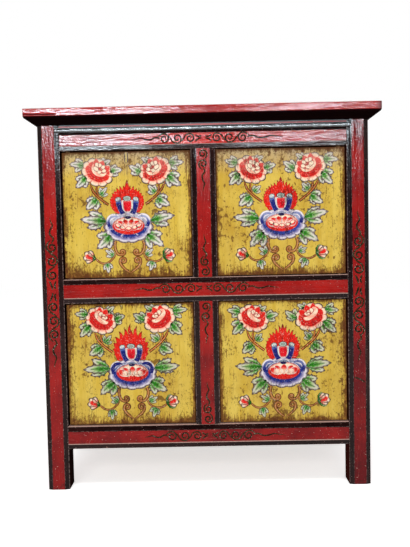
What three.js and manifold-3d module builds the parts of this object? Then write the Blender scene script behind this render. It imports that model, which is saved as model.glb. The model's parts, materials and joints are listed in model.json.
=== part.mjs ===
// Painted Himalayan cabinet with four pivoting doors, as an assembly of joined timber pieces.
// Millimetres, +Z up. The front faces -Y and the cabinet stands on Z = 0.
import * as THREE from 'three';
import { mergeVertices } from 'three/addons/utils/BufferGeometryUtils.js';
import Module from 'manifold-3d';

const wasm = await Module();
wasm.setup();

// Carcass, measured over the legs
const CARCASS_WIDTH = 760;
const CARCASS_DEPTH = 380;
const LEG_SIZE = 50;
const LEG_CLEAR_HEIGHT = 96;

// Front frame heights, from the floor up
const BOTTOM_RAIL_HEIGHT = 54;
const LOWER_OPENING_HEIGHT = 290;
const MID_RAIL_HEIGHT = 56;
const UPPER_OPENING_HEIGHT = 297;
const TOP_RAIL_HEIGHT = 72;
const RAIL_DEPTH = 30;
const CENTRE_STILE_WIDTH = 56;

// Worked bevels along the painted front faces
const BEVEL_DEPTH = 3;
const LEG_OUTER_BEVEL = 10;
const LEG_INNER_BEVEL = 11;
const RAIL_BEVEL = 12;
const TOP_RAIL_BEVEL = 10;

// Top board and the cornice below it
const TOP_THICKNESS = 19;
const TOP_FRONT_OVERHANG = 39;
const TOP_SIDE_OVERHANG = 21.5;
const TOP_FRONT_PLANK_DEPTH = 252;
const TOP_EDGE_EASING = 1.5;
const CORNICE_HEIGHT = 14;
const CORNICE_LIP = 2;
const CORNICE_SETBACK = 1;
const CORNICE_HOLLOW = 1.2;
const CORNICE_STEPS = 6;

// Bead moulding and the groove below it
const BEAD_DROP = 7.5;
const BEAD_HEIGHT = 9;
const BEAD_PROJECTION = 5;
const BEAD_STEPS = 12;
const BEAD_FULLNESS = 0.45;
const BEAD_LEG_LAP = 9;
const BEAD_GROOVE_HEIGHT = 5.5;
const BEAD_GROOVE_DEPTH = 3;

// Joinery
const TENON_THICKNESS = 12;
const TENON_LENGTH = 22;
const TENON_SHOULDER = 9;
const TENON_SETBACK = 10;
const STILE_TENON_WIDTH = 30;
const STILE_TENON_LENGTH = 14;
const FIT = 0.3;
const ROUND_SIDES = 16;

// How far a cut runs past the face it opens, and how close two corners are to count as one
const OVERCUT = 1;
const WELD_TOLERANCE = 0.0001;

// Side and back walls
const WALL_RAIL_THICKNESS = 24;
const WALL_BOTTOM_RAIL_HEIGHT = 54;
const SIDE_PLANK_THICKNESS = 12;
const SIDE_PLANK_RECESS = 6;
const SIDE_PLANK_COUNT = 2;
const BACK_PLANK_THICKNESS = 10;
const BACK_PLANK_RECESS = 7;
const BACK_PLANK_COUNT = 3;
const GROOVE_DEPTH = 8;

// Shelves and what carries them
const SHELF_THICKNESS = 14;
const SHELF_DROP = 2;
const SHELF_PLANK_COUNT = 2;
const RUNNER_SIZE = 18;
const BEARER_WIDTH = 30;

// Doors
const DOOR_RECESS = 8;
const DOOR_THICKNESS = 18;
const DOOR_PIVOT_GAP = 3.5;
const DOOR_FREE_GAP = 1.5;
const DOOR_TOP_GAP = 3;
const DOOR_BOTTOM_GAP = 2.5;
const PIVOT_INSET = 12.5;
const PIVOT_RADIUS = 5;
const PIVOT_RUNNING_GAP = 0.4;
const PIVOT_SOCKET_DEPTH = 14;
const PIVOT_END_GAP = 1;
const PIVOT_ROOT = 28;
const DOOR_BATTEN_HEIGHT = 34;
const DOOR_BATTEN_THICKNESS = 12;
const DOOR_BATTEN_END_INSET = 40;
const DOOR_BATTEN_PIVOT_INSET = 32;
const DOOR_STOP_LAP = 14;
const DOOR_STOP_THICKNESS = 14;
const DOOR_BATTEN_STOP_GAP = 6;

// Derived places. Y is measured back from the front face of the frame.
const LEFT = -CARCASS_WIDTH / 2;
const INNER_LEFT = LEFT + LEG_SIZE;
const BACK = CARCASS_DEPTH;
const INNER_BACK = BACK - LEG_SIZE;
const BOTTOM_RAIL_TOP = LEG_CLEAR_HEIGHT + BOTTOM_RAIL_HEIGHT;
const MID_RAIL_BOTTOM = BOTTOM_RAIL_TOP + LOWER_OPENING_HEIGHT;
const MID_RAIL_TOP = MID_RAIL_BOTTOM + MID_RAIL_HEIGHT;
const TOP_RAIL_BOTTOM = MID_RAIL_TOP + UPPER_OPENING_HEIGHT;
const CARCASS_TOP = TOP_RAIL_BOTTOM + TOP_RAIL_HEIGHT;
const WALL_BOTTOM_RAIL_TOP = LEG_CLEAR_HEIGHT + WALL_BOTTOM_RAIL_HEIGHT;
const TOP_DEPTH = CARCASS_DEPTH + TOP_FRONT_OVERHANG;
const DOOR_BACK = DOOR_RECESS + DOOR_THICKNESS;
const PIVOT_X = INNER_LEFT + DOOR_PIVOT_GAP + PIVOT_INSET;
const PIVOT_Y = DOOR_RECESS + DOOR_THICKNESS / 2;
const STILE_DEPTH = DOOR_BACK + FIT;
const SIDE_PLANK_OUTER = LEFT + SIDE_PLANK_RECESS;
const SIDE_PLANK_INNER = SIDE_PLANK_OUTER + SIDE_PLANK_THICKNESS;
const BACK_PLANK_REAR = BACK - BACK_PLANK_RECESS;
const BACK_PLANK_FRONT = BACK_PLANK_REAR - BACK_PLANK_THICKNESS;

// Shape helpers
function slab(x0, x1, y0, y1, z0, z1) {
  const box = new THREE.BoxGeometry(x1 - x0, y1 - y0, z1 - z0);
  box.translate((x0 + x1) / 2, (y0 + y1) / 2, (z0 + z1) / 2);
  return box;
}

function outline(points) {
  const shape = new THREE.Shape();
  shape.moveTo(points[0][0], points[0][1]);
  points.slice(1).forEach(([a, b]) => shape.lineTo(a, b));
  shape.closePath();
  return shape;
}

// Extrude a plan outline (x, y) upwards
function prismUp(points, z0, z1) {
  const solid = new THREE.ExtrudeGeometry(outline(points), { depth: z1 - z0, bevelEnabled: false });
  solid.translate(0, 0, z0);
  return solid;
}

// Extrude an end outline (y, z) along X
function prismAlongX(points, x0, x1) {
  const solid = new THREE.ExtrudeGeometry(outline(points), { depth: x1 - x0, bevelEnabled: false });
  solid.rotateY(Math.PI / 2);
  solid.rotateX(Math.PI / 2);
  solid.translate(x0, 0, 0);
  return solid;
}

// Extrude an end outline (x, z) along Y
function prismAlongY(points, y0, y1) {
  const solid = new THREE.ExtrudeGeometry(outline(points), { depth: y1 - y0, bevelEnabled: false });
  solid.rotateX(Math.PI / 2);
  solid.translate(0, y1, 0);
  return solid;
}

// A round pin or hole whose flats clear the stated radius
function roundAlongZ(x, y, z0, z1, radius) {
  const solid = new THREE.CylinderGeometry(radius, radius, z1 - z0, ROUND_SIDES);
  solid.rotateX(Math.PI / 2);
  solid.translate(x, y, (z0 + z1) / 2);
  return solid;
}

// Radius of a faceted hole whose flats stay clear of a pin
function holeRadius(pinRadius, gap) {
  return (pinRadius + gap) / Math.cos(Math.PI / ROUND_SIDES);
}

// Boolean work
function toManifold(geometry) {
  const bare = geometry.clone();
  bare.deleteAttribute('normal');
  bare.deleteAttribute('uv');
  const merged = mergeVertices(bare, WELD_TOLERANCE);
  return new wasm.Manifold(new wasm.Mesh({
    numProp: 3,
    vertProperties: new Float32Array(merged.attributes.position.array),
    triVerts: new Uint32Array(merged.index.array),
  }));
}

function toGeometry(manifold) {
  const mesh = manifold.getMesh();
  const indexed = new THREE.BufferGeometry();
  indexed.setAttribute('position', new THREE.BufferAttribute(Float32Array.from(mesh.vertProperties), 3));
  indexed.setIndex(Array.from(mesh.triVerts));
  const geometry = indexed.toNonIndexed();
  geometry.computeVertexNormals();
  return geometry;
}

function combine(body, additions, cuts) {
  let result = toManifold(body);
  additions.forEach((piece) => {
    result = result.add(toManifold(piece));
  });
  cuts.forEach((piece) => {
    result = result.subtract(toManifold(piece));
  });
  return toGeometry(result);
}

// The same solid on the other side of the cabinet
function mirrored(geometry) {
  return toGeometry(toManifold(geometry).mirror([1, 0, 0]));
}

// Finishes
function finish(colour, roughness) {
  return new THREE.MeshStandardMaterial({ color: colour, roughness, metalness: 0 });
}

const redLacquer = () => finish(0xb5332f, 0.35);
const blackLacquer = () => finish(0x241a1c, 0.3);
const ochrePaint = () => finish(0xc9ab5c, 0.5);
const stainedWood = () => finish(0x5a2f22, 0.6);
const bareWood = () => finish(0x8a6a46, 0.8);

const cabinet = new THREE.Group();
cabinet.position.y = TOP_FRONT_OVERHANG - TOP_DEPTH / 2;

function place(name, geometry, material, parent = cabinet) {
  const mesh = new THREE.Mesh(geometry, material);
  mesh.name = name;
  parent.add(mesh);
  return mesh;
}

function placePair(leftName, rightName, geometry, material) {
  place(leftName, geometry, material());
  place(rightName, mirrored(geometry), material());
}

// Levels of the rails that are joined into the legs
const frontRailLevels = [
  [LEG_CLEAR_HEIGHT, BOTTOM_RAIL_TOP],
  [MID_RAIL_BOTTOM, MID_RAIL_TOP],
  [TOP_RAIL_BOTTOM, CARCASS_TOP],
];
const wallRailLevels = [
  [LEG_CLEAR_HEIGHT, WALL_BOTTOM_RAIL_TOP],
  [TOP_RAIL_BOTTOM, CARCASS_TOP],
];

// Tenon on the left end of a rail that runs along X. A positive margin makes its mortise.
function tenonAlongX([z0, z1], y0, margin) {
  return slab(
    INNER_LEFT - TENON_LENGTH - margin,
    INNER_LEFT + Math.max(margin, OVERCUT),
    y0 - margin,
    y0 + TENON_THICKNESS + margin,
    z0 + TENON_SHOULDER - margin,
    z1 - TENON_SHOULDER + margin,
  );
}

// Tenon on the front or rear end of a left side rail. Direction is -1 at the front and 1 at the rear.
function tenonAlongY([z0, z1], shoulderY, direction, margin) {
  const tip = shoulderY + direction * (TENON_LENGTH + margin);
  const root = shoulderY - direction * Math.max(margin, OVERCUT);
  return slab(
    SIDE_PLANK_OUTER - margin,
    SIDE_PLANK_OUTER + TENON_THICKNESS + margin,
    Math.min(tip, root),
    Math.max(tip, root),
    z0 + TENON_SHOULDER - margin,
    z1 - TENON_SHOULDER + margin,
  );
}

const BACK_TENON_Y = BACK_PLANK_REAR - TENON_THICKNESS;

// Legs
function frontLeg() {
  const section = [
    [LEFT, BEVEL_DEPTH],
    [LEFT + LEG_OUTER_BEVEL, 0],
    [INNER_LEFT - LEG_INNER_BEVEL, 0],
    [INNER_LEFT, BEVEL_DEPTH],
    [INNER_LEFT, LEG_SIZE],
    [LEFT, LEG_SIZE],
  ];
  const groove = slab(
    SIDE_PLANK_OUTER - FIT,
    SIDE_PLANK_INNER + FIT,
    LEG_SIZE - GROOVE_DEPTH - FIT,
    LEG_SIZE + OVERCUT,
    WALL_BOTTOM_RAIL_TOP - GROOVE_DEPTH - FIT,
    TOP_RAIL_BOTTOM + GROOVE_DEPTH + FIT,
  );
  const cuts = [
    groove,
    ...frontRailLevels.map((level) => tenonAlongX(level, TENON_SETBACK, FIT)),
    ...wallRailLevels.map((level) => tenonAlongY(level, LEG_SIZE, -1, FIT)),
  ];
  return combine(prismUp(section, 0, CARCASS_TOP), [], cuts);
}

function rearLeg() {
  const sideGroove = slab(
    SIDE_PLANK_OUTER - FIT,
    SIDE_PLANK_INNER + FIT,
    INNER_BACK - OVERCUT,
    INNER_BACK + GROOVE_DEPTH + FIT,
    WALL_BOTTOM_RAIL_TOP - GROOVE_DEPTH - FIT,
    TOP_RAIL_BOTTOM + GROOVE_DEPTH + FIT,
  );
  const backGroove = slab(
    INNER_LEFT - GROOVE_DEPTH - FIT,
    INNER_LEFT + OVERCUT,
    BACK_PLANK_FRONT - FIT,
    BACK_PLANK_REAR + FIT,
    WALL_BOTTOM_RAIL_TOP - GROOVE_DEPTH - FIT,
    TOP_RAIL_BOTTOM + GROOVE_DEPTH + FIT,
  );
  const cuts = [
    sideGroove,
    backGroove,
    ...wallRailLevels.map((level) => tenonAlongX(level, BACK_TENON_Y, FIT)),
    ...wallRailLevels.map((level) => tenonAlongY(level, INNER_BACK, 1, FIT)),
  ];
  return combine(slab(LEFT, INNER_LEFT, INNER_BACK, BACK, 0, CARCASS_TOP), [], cuts);
}

placePair('front_leg_left', 'front_leg_right', frontLeg(), redLacquer);
placePair('rear_leg_left', 'rear_leg_right', rearLeg(), stainedWood);

// Front rails
function bothEnds(geometry) {
  return [geometry, mirrored(geometry)];
}

function pivotSocket(z0, z1) {
  return roundAlongZ(PIVOT_X, PIVOT_Y, z0, z1, holeRadius(PIVOT_RADIUS, PIVOT_RUNNING_GAP));
}

function stileTenon(z0, z1, margin) {
  const half = STILE_TENON_WIDTH / 2 + margin;
  return slab(-half, half, TENON_SETBACK - margin, TENON_SETBACK + TENON_THICKNESS + margin, z0, z1);
}

function frontRail(section, level, sockets, mortises) {
  const tenon = tenonAlongX(level, TENON_SETBACK, 0);
  return combine(
    prismAlongX(section, INNER_LEFT, -INNER_LEFT),
    bothEnds(tenon),
    [...sockets.flatMap((socket) => bothEnds(socket)), mortises].flat(),
  );
}

function bevelledSection(z0, z1) {
  return [
    [BEVEL_DEPTH, z0],
    [RAIL_DEPTH, z0],
    [RAIL_DEPTH, z1],
    [BEVEL_DEPTH, z1],
    [0, z1 - RAIL_BEVEL],
    [0, z0 + RAIL_BEVEL],
  ];
}

const BEAD_TOP = CARCASS_TOP - CORNICE_HEIGHT - BEAD_DROP;
const BEAD_BOTTOM = BEAD_TOP - BEAD_HEIGHT;
const GROOVE_BOTTOM = BEAD_BOTTOM - BEAD_GROOVE_HEIGHT;

function topRail() {
  const section = [
    [BEVEL_DEPTH, TOP_RAIL_BOTTOM],
    [RAIL_DEPTH, TOP_RAIL_BOTTOM],
    [RAIL_DEPTH, CARCASS_TOP],
    [0, CARCASS_TOP],
    [0, BEAD_BOTTOM],
    [BEAD_GROOVE_DEPTH, BEAD_BOTTOM],
    [0, GROOVE_BOTTOM],
    [0, TOP_RAIL_BOTTOM + TOP_RAIL_BEVEL],
  ];
  const sockets = [pivotSocket(TOP_RAIL_BOTTOM - OVERCUT, TOP_RAIL_BOTTOM + PIVOT_SOCKET_DEPTH)];
  const mortises = [
    stileTenon(TOP_RAIL_BOTTOM - OVERCUT, TOP_RAIL_BOTTOM + STILE_TENON_LENGTH + FIT, FIT),
  ];
  return frontRail(section, frontRailLevels[2], sockets, mortises);
}

function midRail() {
  const sockets = [
    pivotSocket(MID_RAIL_BOTTOM - OVERCUT, MID_RAIL_BOTTOM + PIVOT_SOCKET_DEPTH),
    pivotSocket(MID_RAIL_TOP - PIVOT_SOCKET_DEPTH, MID_RAIL_TOP + OVERCUT),
  ];
  const mortises = [
    stileTenon(MID_RAIL_BOTTOM - OVERCUT, MID_RAIL_BOTTOM + STILE_TENON_LENGTH + FIT, FIT),
    stileTenon(MID_RAIL_TOP - STILE_TENON_LENGTH - FIT, MID_RAIL_TOP + OVERCUT, FIT),
  ];
  const section = bevelledSection(MID_RAIL_BOTTOM, MID_RAIL_TOP);
  return frontRail(section, frontRailLevels[1], sockets, mortises);
}

function bottomRail() {
  const sockets = [
    pivotSocket(BOTTOM_RAIL_TOP - PIVOT_SOCKET_DEPTH, BOTTOM_RAIL_TOP + OVERCUT),
  ];
  const mortises = [
    stileTenon(BOTTOM_RAIL_TOP - STILE_TENON_LENGTH - FIT, BOTTOM_RAIL_TOP + OVERCUT, FIT),
  ];
  const section = bevelledSection(LEG_CLEAR_HEIGHT, BOTTOM_RAIL_TOP);
  return frontRail(section, frontRailLevels[0], sockets, mortises);
}

place('front_top_rail', topRail(), redLacquer());
place('front_mid_rail', midRail(), redLacquer());
place('front_bottom_rail', bottomRail(), redLacquer());

// Bead moulding, a strip across the top rail, its front fuller than a half round
function beadMoulding() {
  const centre = (BEAD_TOP + BEAD_BOTTOM) / 2;
  const section = [];
  for (let step = 0; step <= BEAD_STEPS; step += 1) {
    const angle = -Math.PI / 2 + (Math.PI * step) / BEAD_STEPS;
    const out = BEAD_PROJECTION * Math.max(0, Math.cos(angle)) ** BEAD_FULLNESS;
    section.push([-out, centre - (BEAD_HEIGHT / 2) * Math.sin(angle)]);
  }
  return prismAlongX(section, INNER_LEFT - BEAD_LEG_LAP, -INNER_LEFT + BEAD_LEG_LAP);
}

place('bead_moulding', beadMoulding(), blackLacquer());

// Centre stiles, bevelled on both edges, with a stop behind that the doors close on
function centreStile(z0, z1) {
  const half = CENTRE_STILE_WIDTH / 2;
  const section = [
    [-half, BEVEL_DEPTH],
    [-half + RAIL_BEVEL, 0],
    [half - RAIL_BEVEL, 0],
    [half, BEVEL_DEPTH],
    [half, STILE_DEPTH],
    [-half, STILE_DEPTH],
  ];
  const tenons = [
    stileTenon(z0 - STILE_TENON_LENGTH, z0 + OVERCUT, 0),
    stileTenon(z1 - OVERCUT, z1 + STILE_TENON_LENGTH, 0),
  ];
  return combine(prismUp(section, z0, z1), tenons, []);
}

function doorStop(z0, z1) {
  const half = CENTRE_STILE_WIDTH / 2 + DOOR_STOP_LAP;
  return slab(-half, half, STILE_DEPTH, STILE_DEPTH + DOOR_STOP_THICKNESS, z0, z1);
}

place('lower_centre_stile', centreStile(BOTTOM_RAIL_TOP, MID_RAIL_BOTTOM), redLacquer());
place('upper_centre_stile', centreStile(MID_RAIL_TOP, TOP_RAIL_BOTTOM), redLacquer());
place('lower_door_stop', doorStop(BOTTOM_RAIL_TOP, MID_RAIL_BOTTOM), stainedWood());
place('upper_door_stop', doorStop(MID_RAIL_TOP, TOP_RAIL_BOTTOM), stainedWood());

// Side rails and the planks held in their grooves
function sideRail(level, grooveFrom, grooveTo) {
  const body = slab(LEFT, LEFT + WALL_RAIL_THICKNESS, LEG_SIZE, INNER_BACK, level[0], level[1]);
  const tenons = [tenonAlongY(level, LEG_SIZE, -1, 0), tenonAlongY(level, INNER_BACK, 1, 0)];
  const groove = slab(
    SIDE_PLANK_OUTER - FIT,
    SIDE_PLANK_INNER + FIT,
    LEG_SIZE - OVERCUT,
    INNER_BACK + OVERCUT,
    grooveFrom,
    grooveTo,
  );
  return combine(body, tenons, [groove]);
}

const bottomGroove = [WALL_BOTTOM_RAIL_TOP - GROOVE_DEPTH - FIT, WALL_BOTTOM_RAIL_TOP + OVERCUT];
const topGroove = [TOP_RAIL_BOTTOM - OVERCUT, TOP_RAIL_BOTTOM + GROOVE_DEPTH + FIT];

const sideBottomRail = sideRail(wallRailLevels[0], ...bottomGroove);
const sideTopRail = sideRail(wallRailLevels[1], ...topGroove);
placePair('side_bottom_rail_left', 'side_bottom_rail_right', sideBottomRail, redLacquer);
placePair('side_top_rail_left', 'side_top_rail_right', sideTopRail, redLacquer);

const PLANK_BOTTOM = WALL_BOTTOM_RAIL_TOP - GROOVE_DEPTH;
const PLANK_TOP = TOP_RAIL_BOTTOM + GROOVE_DEPTH;

function sidePlank(index) {
  const start = LEG_SIZE - GROOVE_DEPTH;
  const width = (INNER_BACK + GROOVE_DEPTH - start) / SIDE_PLANK_COUNT;
  const y0 = start + index * width + (index > 0 ? FIT / 2 : 0);
  const y1 = start + (index + 1) * width - (index < SIDE_PLANK_COUNT - 1 ? FIT / 2 : 0);
  return slab(SIDE_PLANK_OUTER, SIDE_PLANK_INNER, y0, y1, PLANK_BOTTOM, PLANK_TOP);
}

for (let index = 0; index < SIDE_PLANK_COUNT; index += 1) {
  placePair(`side_plank_left_${index + 1}`, `side_plank_right_${index + 1}`, sidePlank(index), redLacquer);
}

// Back rails and planks
function backRail(level, grooveFrom, grooveTo) {
  const body = slab(INNER_LEFT, -INNER_LEFT, BACK - WALL_RAIL_THICKNESS, BACK, level[0], level[1]);
  const tenon = tenonAlongX(level, BACK_TENON_Y, 0);
  const groove = slab(
    INNER_LEFT - OVERCUT,
    -INNER_LEFT + OVERCUT,
    BACK_PLANK_FRONT - FIT,
    BACK_PLANK_REAR + FIT,
    grooveFrom,
    grooveTo,
  );
  return combine(body, bothEnds(tenon), [groove]);
}

place('back_bottom_rail', backRail(wallRailLevels[0], ...bottomGroove), stainedWood());
place('back_top_rail', backRail(wallRailLevels[1], ...topGroove), stainedWood());

function backPlank(index) {
  const start = INNER_LEFT - GROOVE_DEPTH;
  const width = (-2 * start) / BACK_PLANK_COUNT;
  const x0 = start + index * width + (index > 0 ? FIT / 2 : 0);
  const x1 = start + (index + 1) * width - (index < BACK_PLANK_COUNT - 1 ? FIT / 2 : 0);
  return slab(x0, x1, BACK_PLANK_FRONT, BACK_PLANK_REAR, PLANK_BOTTOM, PLANK_TOP);
}

for (let index = 0; index < BACK_PLANK_COUNT; index += 1) {
  place(`back_plank_${index + 1}`, backPlank(index), bareWood());
}

// Shelf and bottom boards, notched round the legs
function shelfPlank(index, sideX, backY, topZ) {
  const width = (backY - RAIL_DEPTH) / SHELF_PLANK_COUNT;
  const y0 = RAIL_DEPTH + index * width + (index > 0 ? FIT / 2 : 0);
  const y1 = RAIL_DEPTH + (index + 1) * width - (index < SHELF_PLANK_COUNT - 1 ? FIT / 2 : 0);
  const z0 = topZ - SHELF_THICKNESS;
  const notches = [
    slab(LEFT, INNER_LEFT, 0, LEG_SIZE, z0 - OVERCUT, topZ + OVERCUT),
    slab(LEFT, INNER_LEFT, INNER_BACK, BACK, z0 - OVERCUT, topZ + OVERCUT),
  ];
  const board = slab(sideX, -sideX, y0, y1, z0, topZ);
  return combine(board, [], notches.flatMap((notch) => bothEnds(notch)));
}

const BOTTOM_BOARD_TOP = BOTTOM_RAIL_TOP - SHELF_DROP;
const SHELF_TOP = MID_RAIL_TOP - SHELF_DROP;
const BOTTOM_BOARD_SIDE = LEFT + WALL_RAIL_THICKNESS;
const BOTTOM_BOARD_BACK = BACK - WALL_RAIL_THICKNESS;

for (let index = 0; index < SHELF_PLANK_COUNT; index += 1) {
  const lower = shelfPlank(index, BOTTOM_BOARD_SIDE, BOTTOM_BOARD_BACK, BOTTOM_BOARD_TOP);
  const upper = shelfPlank(index, SIDE_PLANK_INNER, BACK_PLANK_FRONT, SHELF_TOP);
  place(`bottom_board_${index + 1}`, lower, bareWood());
  place(`shelf_board_${index + 1}`, upper, bareWood());
}

// Runners at the sides and a bearer in the middle carry the boards
function runner(sideX, boardTop) {
  const top = boardTop - SHELF_THICKNESS;
  return slab(sideX, sideX + RUNNER_SIZE, LEG_SIZE, INNER_BACK, top - RUNNER_SIZE, top);
}

function bearer(backY, boardTop) {
  const top = boardTop - SHELF_THICKNESS;
  return slab(-BEARER_WIDTH / 2, BEARER_WIDTH / 2, RAIL_DEPTH, backY, top - RUNNER_SIZE, top);
}

const bottomRunner = runner(BOTTOM_BOARD_SIDE, BOTTOM_BOARD_TOP);
const shelfRunner = runner(SIDE_PLANK_INNER, SHELF_TOP);
placePair('bottom_runner_left', 'bottom_runner_right', bottomRunner, bareWood);
placePair('shelf_runner_left', 'shelf_runner_right', shelfRunner, bareWood);
place('bottom_bearer', bearer(BOTTOM_BOARD_BACK, BOTTOM_BOARD_TOP), bareWood());
place('shelf_bearer', bearer(BACK_PLANK_FRONT, SHELF_TOP), bareWood());

// Top board in two planks, its outer arrises eased
function topPlank(y0, y1, easeFront, easeBack) {
  const top = CARCASS_TOP + TOP_THICKNESS;
  const front = easeFront ? TOP_EDGE_EASING : 0;
  const back = easeBack ? TOP_EDGE_EASING : 0;
  const section = [[y0, CARCASS_TOP + front], [y0 + front, CARCASS_TOP]];
  section.push([y1 - back, CARCASS_TOP], [y1, CARCASS_TOP + back]);
  section.push([y1, top - back], [y1 - back, top]);
  section.push([y0 + front, top], [y0, top - front]);
  const distinct = section.filter((point, index) => {
    const next = section[(index + 1) % section.length];
    return point[0] !== next[0] || point[1] !== next[1];
  });
  return prismAlongX(distinct, LEFT - TOP_SIDE_OVERHANG, -LEFT + TOP_SIDE_OVERHANG);
}

const TOP_SEAM = TOP_FRONT_PLANK_DEPTH - TOP_FRONT_OVERHANG;
const topFront = topPlank(-TOP_FRONT_OVERHANG, TOP_SEAM - FIT / 2, true, false);
const topRear = topPlank(TOP_SEAM + FIT / 2, BACK, false, true);
place('top_board_front', topFront, redLacquer());
place('top_board_rear', topRear, redLacquer());

// Cornice strips under the overhang, mitred at the front corners
function corniceProfile(reach) {
  const bottom = CARCASS_TOP - CORNICE_HEIGHT;
  const slope = CORNICE_HEIGHT - CORNICE_LIP;
  const points = [[0, CARCASS_TOP], [0, bottom]];
  for (let step = 1; step <= CORNICE_STEPS; step += 1) {
    const part = step / CORNICE_STEPS;
    points.push([reach * part, bottom + slope * part + CORNICE_HOLLOW * Math.sin(Math.PI * part)]);
  }
  points.push([reach, CARCASS_TOP]);
  return points;
}

const CORNICE_FRONT_REACH = TOP_FRONT_OVERHANG - CORNICE_SETBACK;
const CORNICE_SIDE_REACH = TOP_SIDE_OVERHANG - CORNICE_SETBACK;
const MITRE_BOTTOM = CARCASS_TOP - CORNICE_HEIGHT - OVERCUT;
const MITRE_TOP = CARCASS_TOP + OVERCUT;

function corniceFront() {
  const profile = corniceProfile(CORNICE_FRONT_REACH).map(([out, z]) => [-out, z]);
  const strip = prismAlongX(profile, LEFT - CORNICE_SIDE_REACH, -LEFT + CORNICE_SIDE_REACH);
  const plan = [
    [LEFT, 0],
    [LEFT - CORNICE_SIDE_REACH, -CORNICE_FRONT_REACH],
    [-LEFT + CORNICE_SIDE_REACH, -CORNICE_FRONT_REACH],
    [-LEFT, 0],
  ];
  const mitre = prismUp(plan, MITRE_BOTTOM, MITRE_TOP);
  return toGeometry(toManifold(strip).intersect(toManifold(mitre)));
}

function corniceSide() {
  const profile = corniceProfile(CORNICE_SIDE_REACH).map(([out, z]) => [LEFT - out, z]);
  const strip = prismAlongY(profile, -CORNICE_FRONT_REACH, BACK);
  const plan = [
    [LEFT, 0],
    [LEFT, BACK],
    [LEFT - CORNICE_SIDE_REACH, BACK],
    [LEFT - CORNICE_SIDE_REACH, -CORNICE_FRONT_REACH],
  ];
  const mitre = prismUp(plan, MITRE_BOTTOM, MITRE_TOP);
  return toGeometry(toManifold(strip).intersect(toManifold(mitre)));
}

place('cornice_front', corniceFront(), blackLacquer());
placePair('cornice_left', 'cornice_right', corniceSide(), blackLacquer);

// Doors. Each is drawn about its pivot axis, for the left side, and mirrored for the right.
function doorPanel(z0, z1) {
  const outer = -PIVOT_INSET;
  const free = -CENTRE_STILE_WIDTH / 2 - DOOR_FREE_GAP - PIVOT_X;
  const socket = holeRadius(PIVOT_RADIUS, FIT);
  const panel = slab(outer, free, -DOOR_THICKNESS / 2, DOOR_THICKNESS / 2, z0, z1);
  const sockets = [
    roundAlongZ(0, 0, z0 - OVERCUT, z0 + PIVOT_ROOT + FIT, socket),
    roundAlongZ(0, 0, z1 - PIVOT_ROOT - FIT, z1 + OVERCUT, socket),
  ];
  return combine(panel, [], sockets);
}

function doorBatten(z0) {
  const free = -CENTRE_STILE_WIDTH / 2 - DOOR_STOP_LAP - DOOR_BATTEN_STOP_GAP - PIVOT_X;
  const face = DOOR_THICKNESS / 2;
  return slab(
    DOOR_BATTEN_PIVOT_INSET - PIVOT_INSET,
    free,
    face,
    face + DOOR_BATTEN_THICKNESS,
    z0,
    z0 + DOOR_BATTEN_HEIGHT,
  );
}

// Pins are fixed in the door and turn in the rails
function pivotPin(z0, z1) {
  return roundAlongZ(0, 0, z0, z1, PIVOT_RADIUS);
}

function door(level, side, openingBottom, openingTop) {
  const z0 = openingBottom + DOOR_BOTTOM_GAP;
  const z1 = openingTop - DOOR_TOP_GAP;
  const hand = side === 'left' ? (geometry) => geometry : mirrored;
  const group = new THREE.Group();
  group.position.set(side === 'left' ? PIVOT_X : -PIVOT_X, PIVOT_Y, 0);
  cabinet.add(group);
  const name = `${level}_${side}_door`;
  const lowBatten = doorBatten(z0 + DOOR_BATTEN_END_INSET);
  const highBatten = doorBatten(z1 - DOOR_BATTEN_END_INSET - DOOR_BATTEN_HEIGHT);
  place(`${name}_panel`, hand(doorPanel(z0, z1)), ochrePaint(), group);
  place(`${name}_low_batten`, hand(lowBatten), stainedWood(), group);
  place(`${name}_high_batten`, hand(highBatten), stainedWood(), group);
  const reach = PIVOT_SOCKET_DEPTH - PIVOT_END_GAP;
  const lowPin = pivotPin(openingBottom - reach, z0 + PIVOT_ROOT);
  const highPin = pivotPin(z1 - PIVOT_ROOT, openingTop + reach);
  place(`${name}_bottom_pin`, lowPin, bareWood(), group);
  place(`${name}_top_pin`, highPin, bareWood(), group);
}

for (const side of ['left', 'right']) {
  door('lower', side, BOTTOM_RAIL_TOP, MID_RAIL_BOTTOM);
  door('upper', side, MID_RAIL_TOP, TOP_RAIL_BOTTOM);
}

export default cabinet;
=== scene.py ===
# Painted Himalayan cabinet: worked timber, lacquer, raised painting, studio and camera.
import json
import math
import random

import bpy
from mathutils import Matrix, Vector

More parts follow.
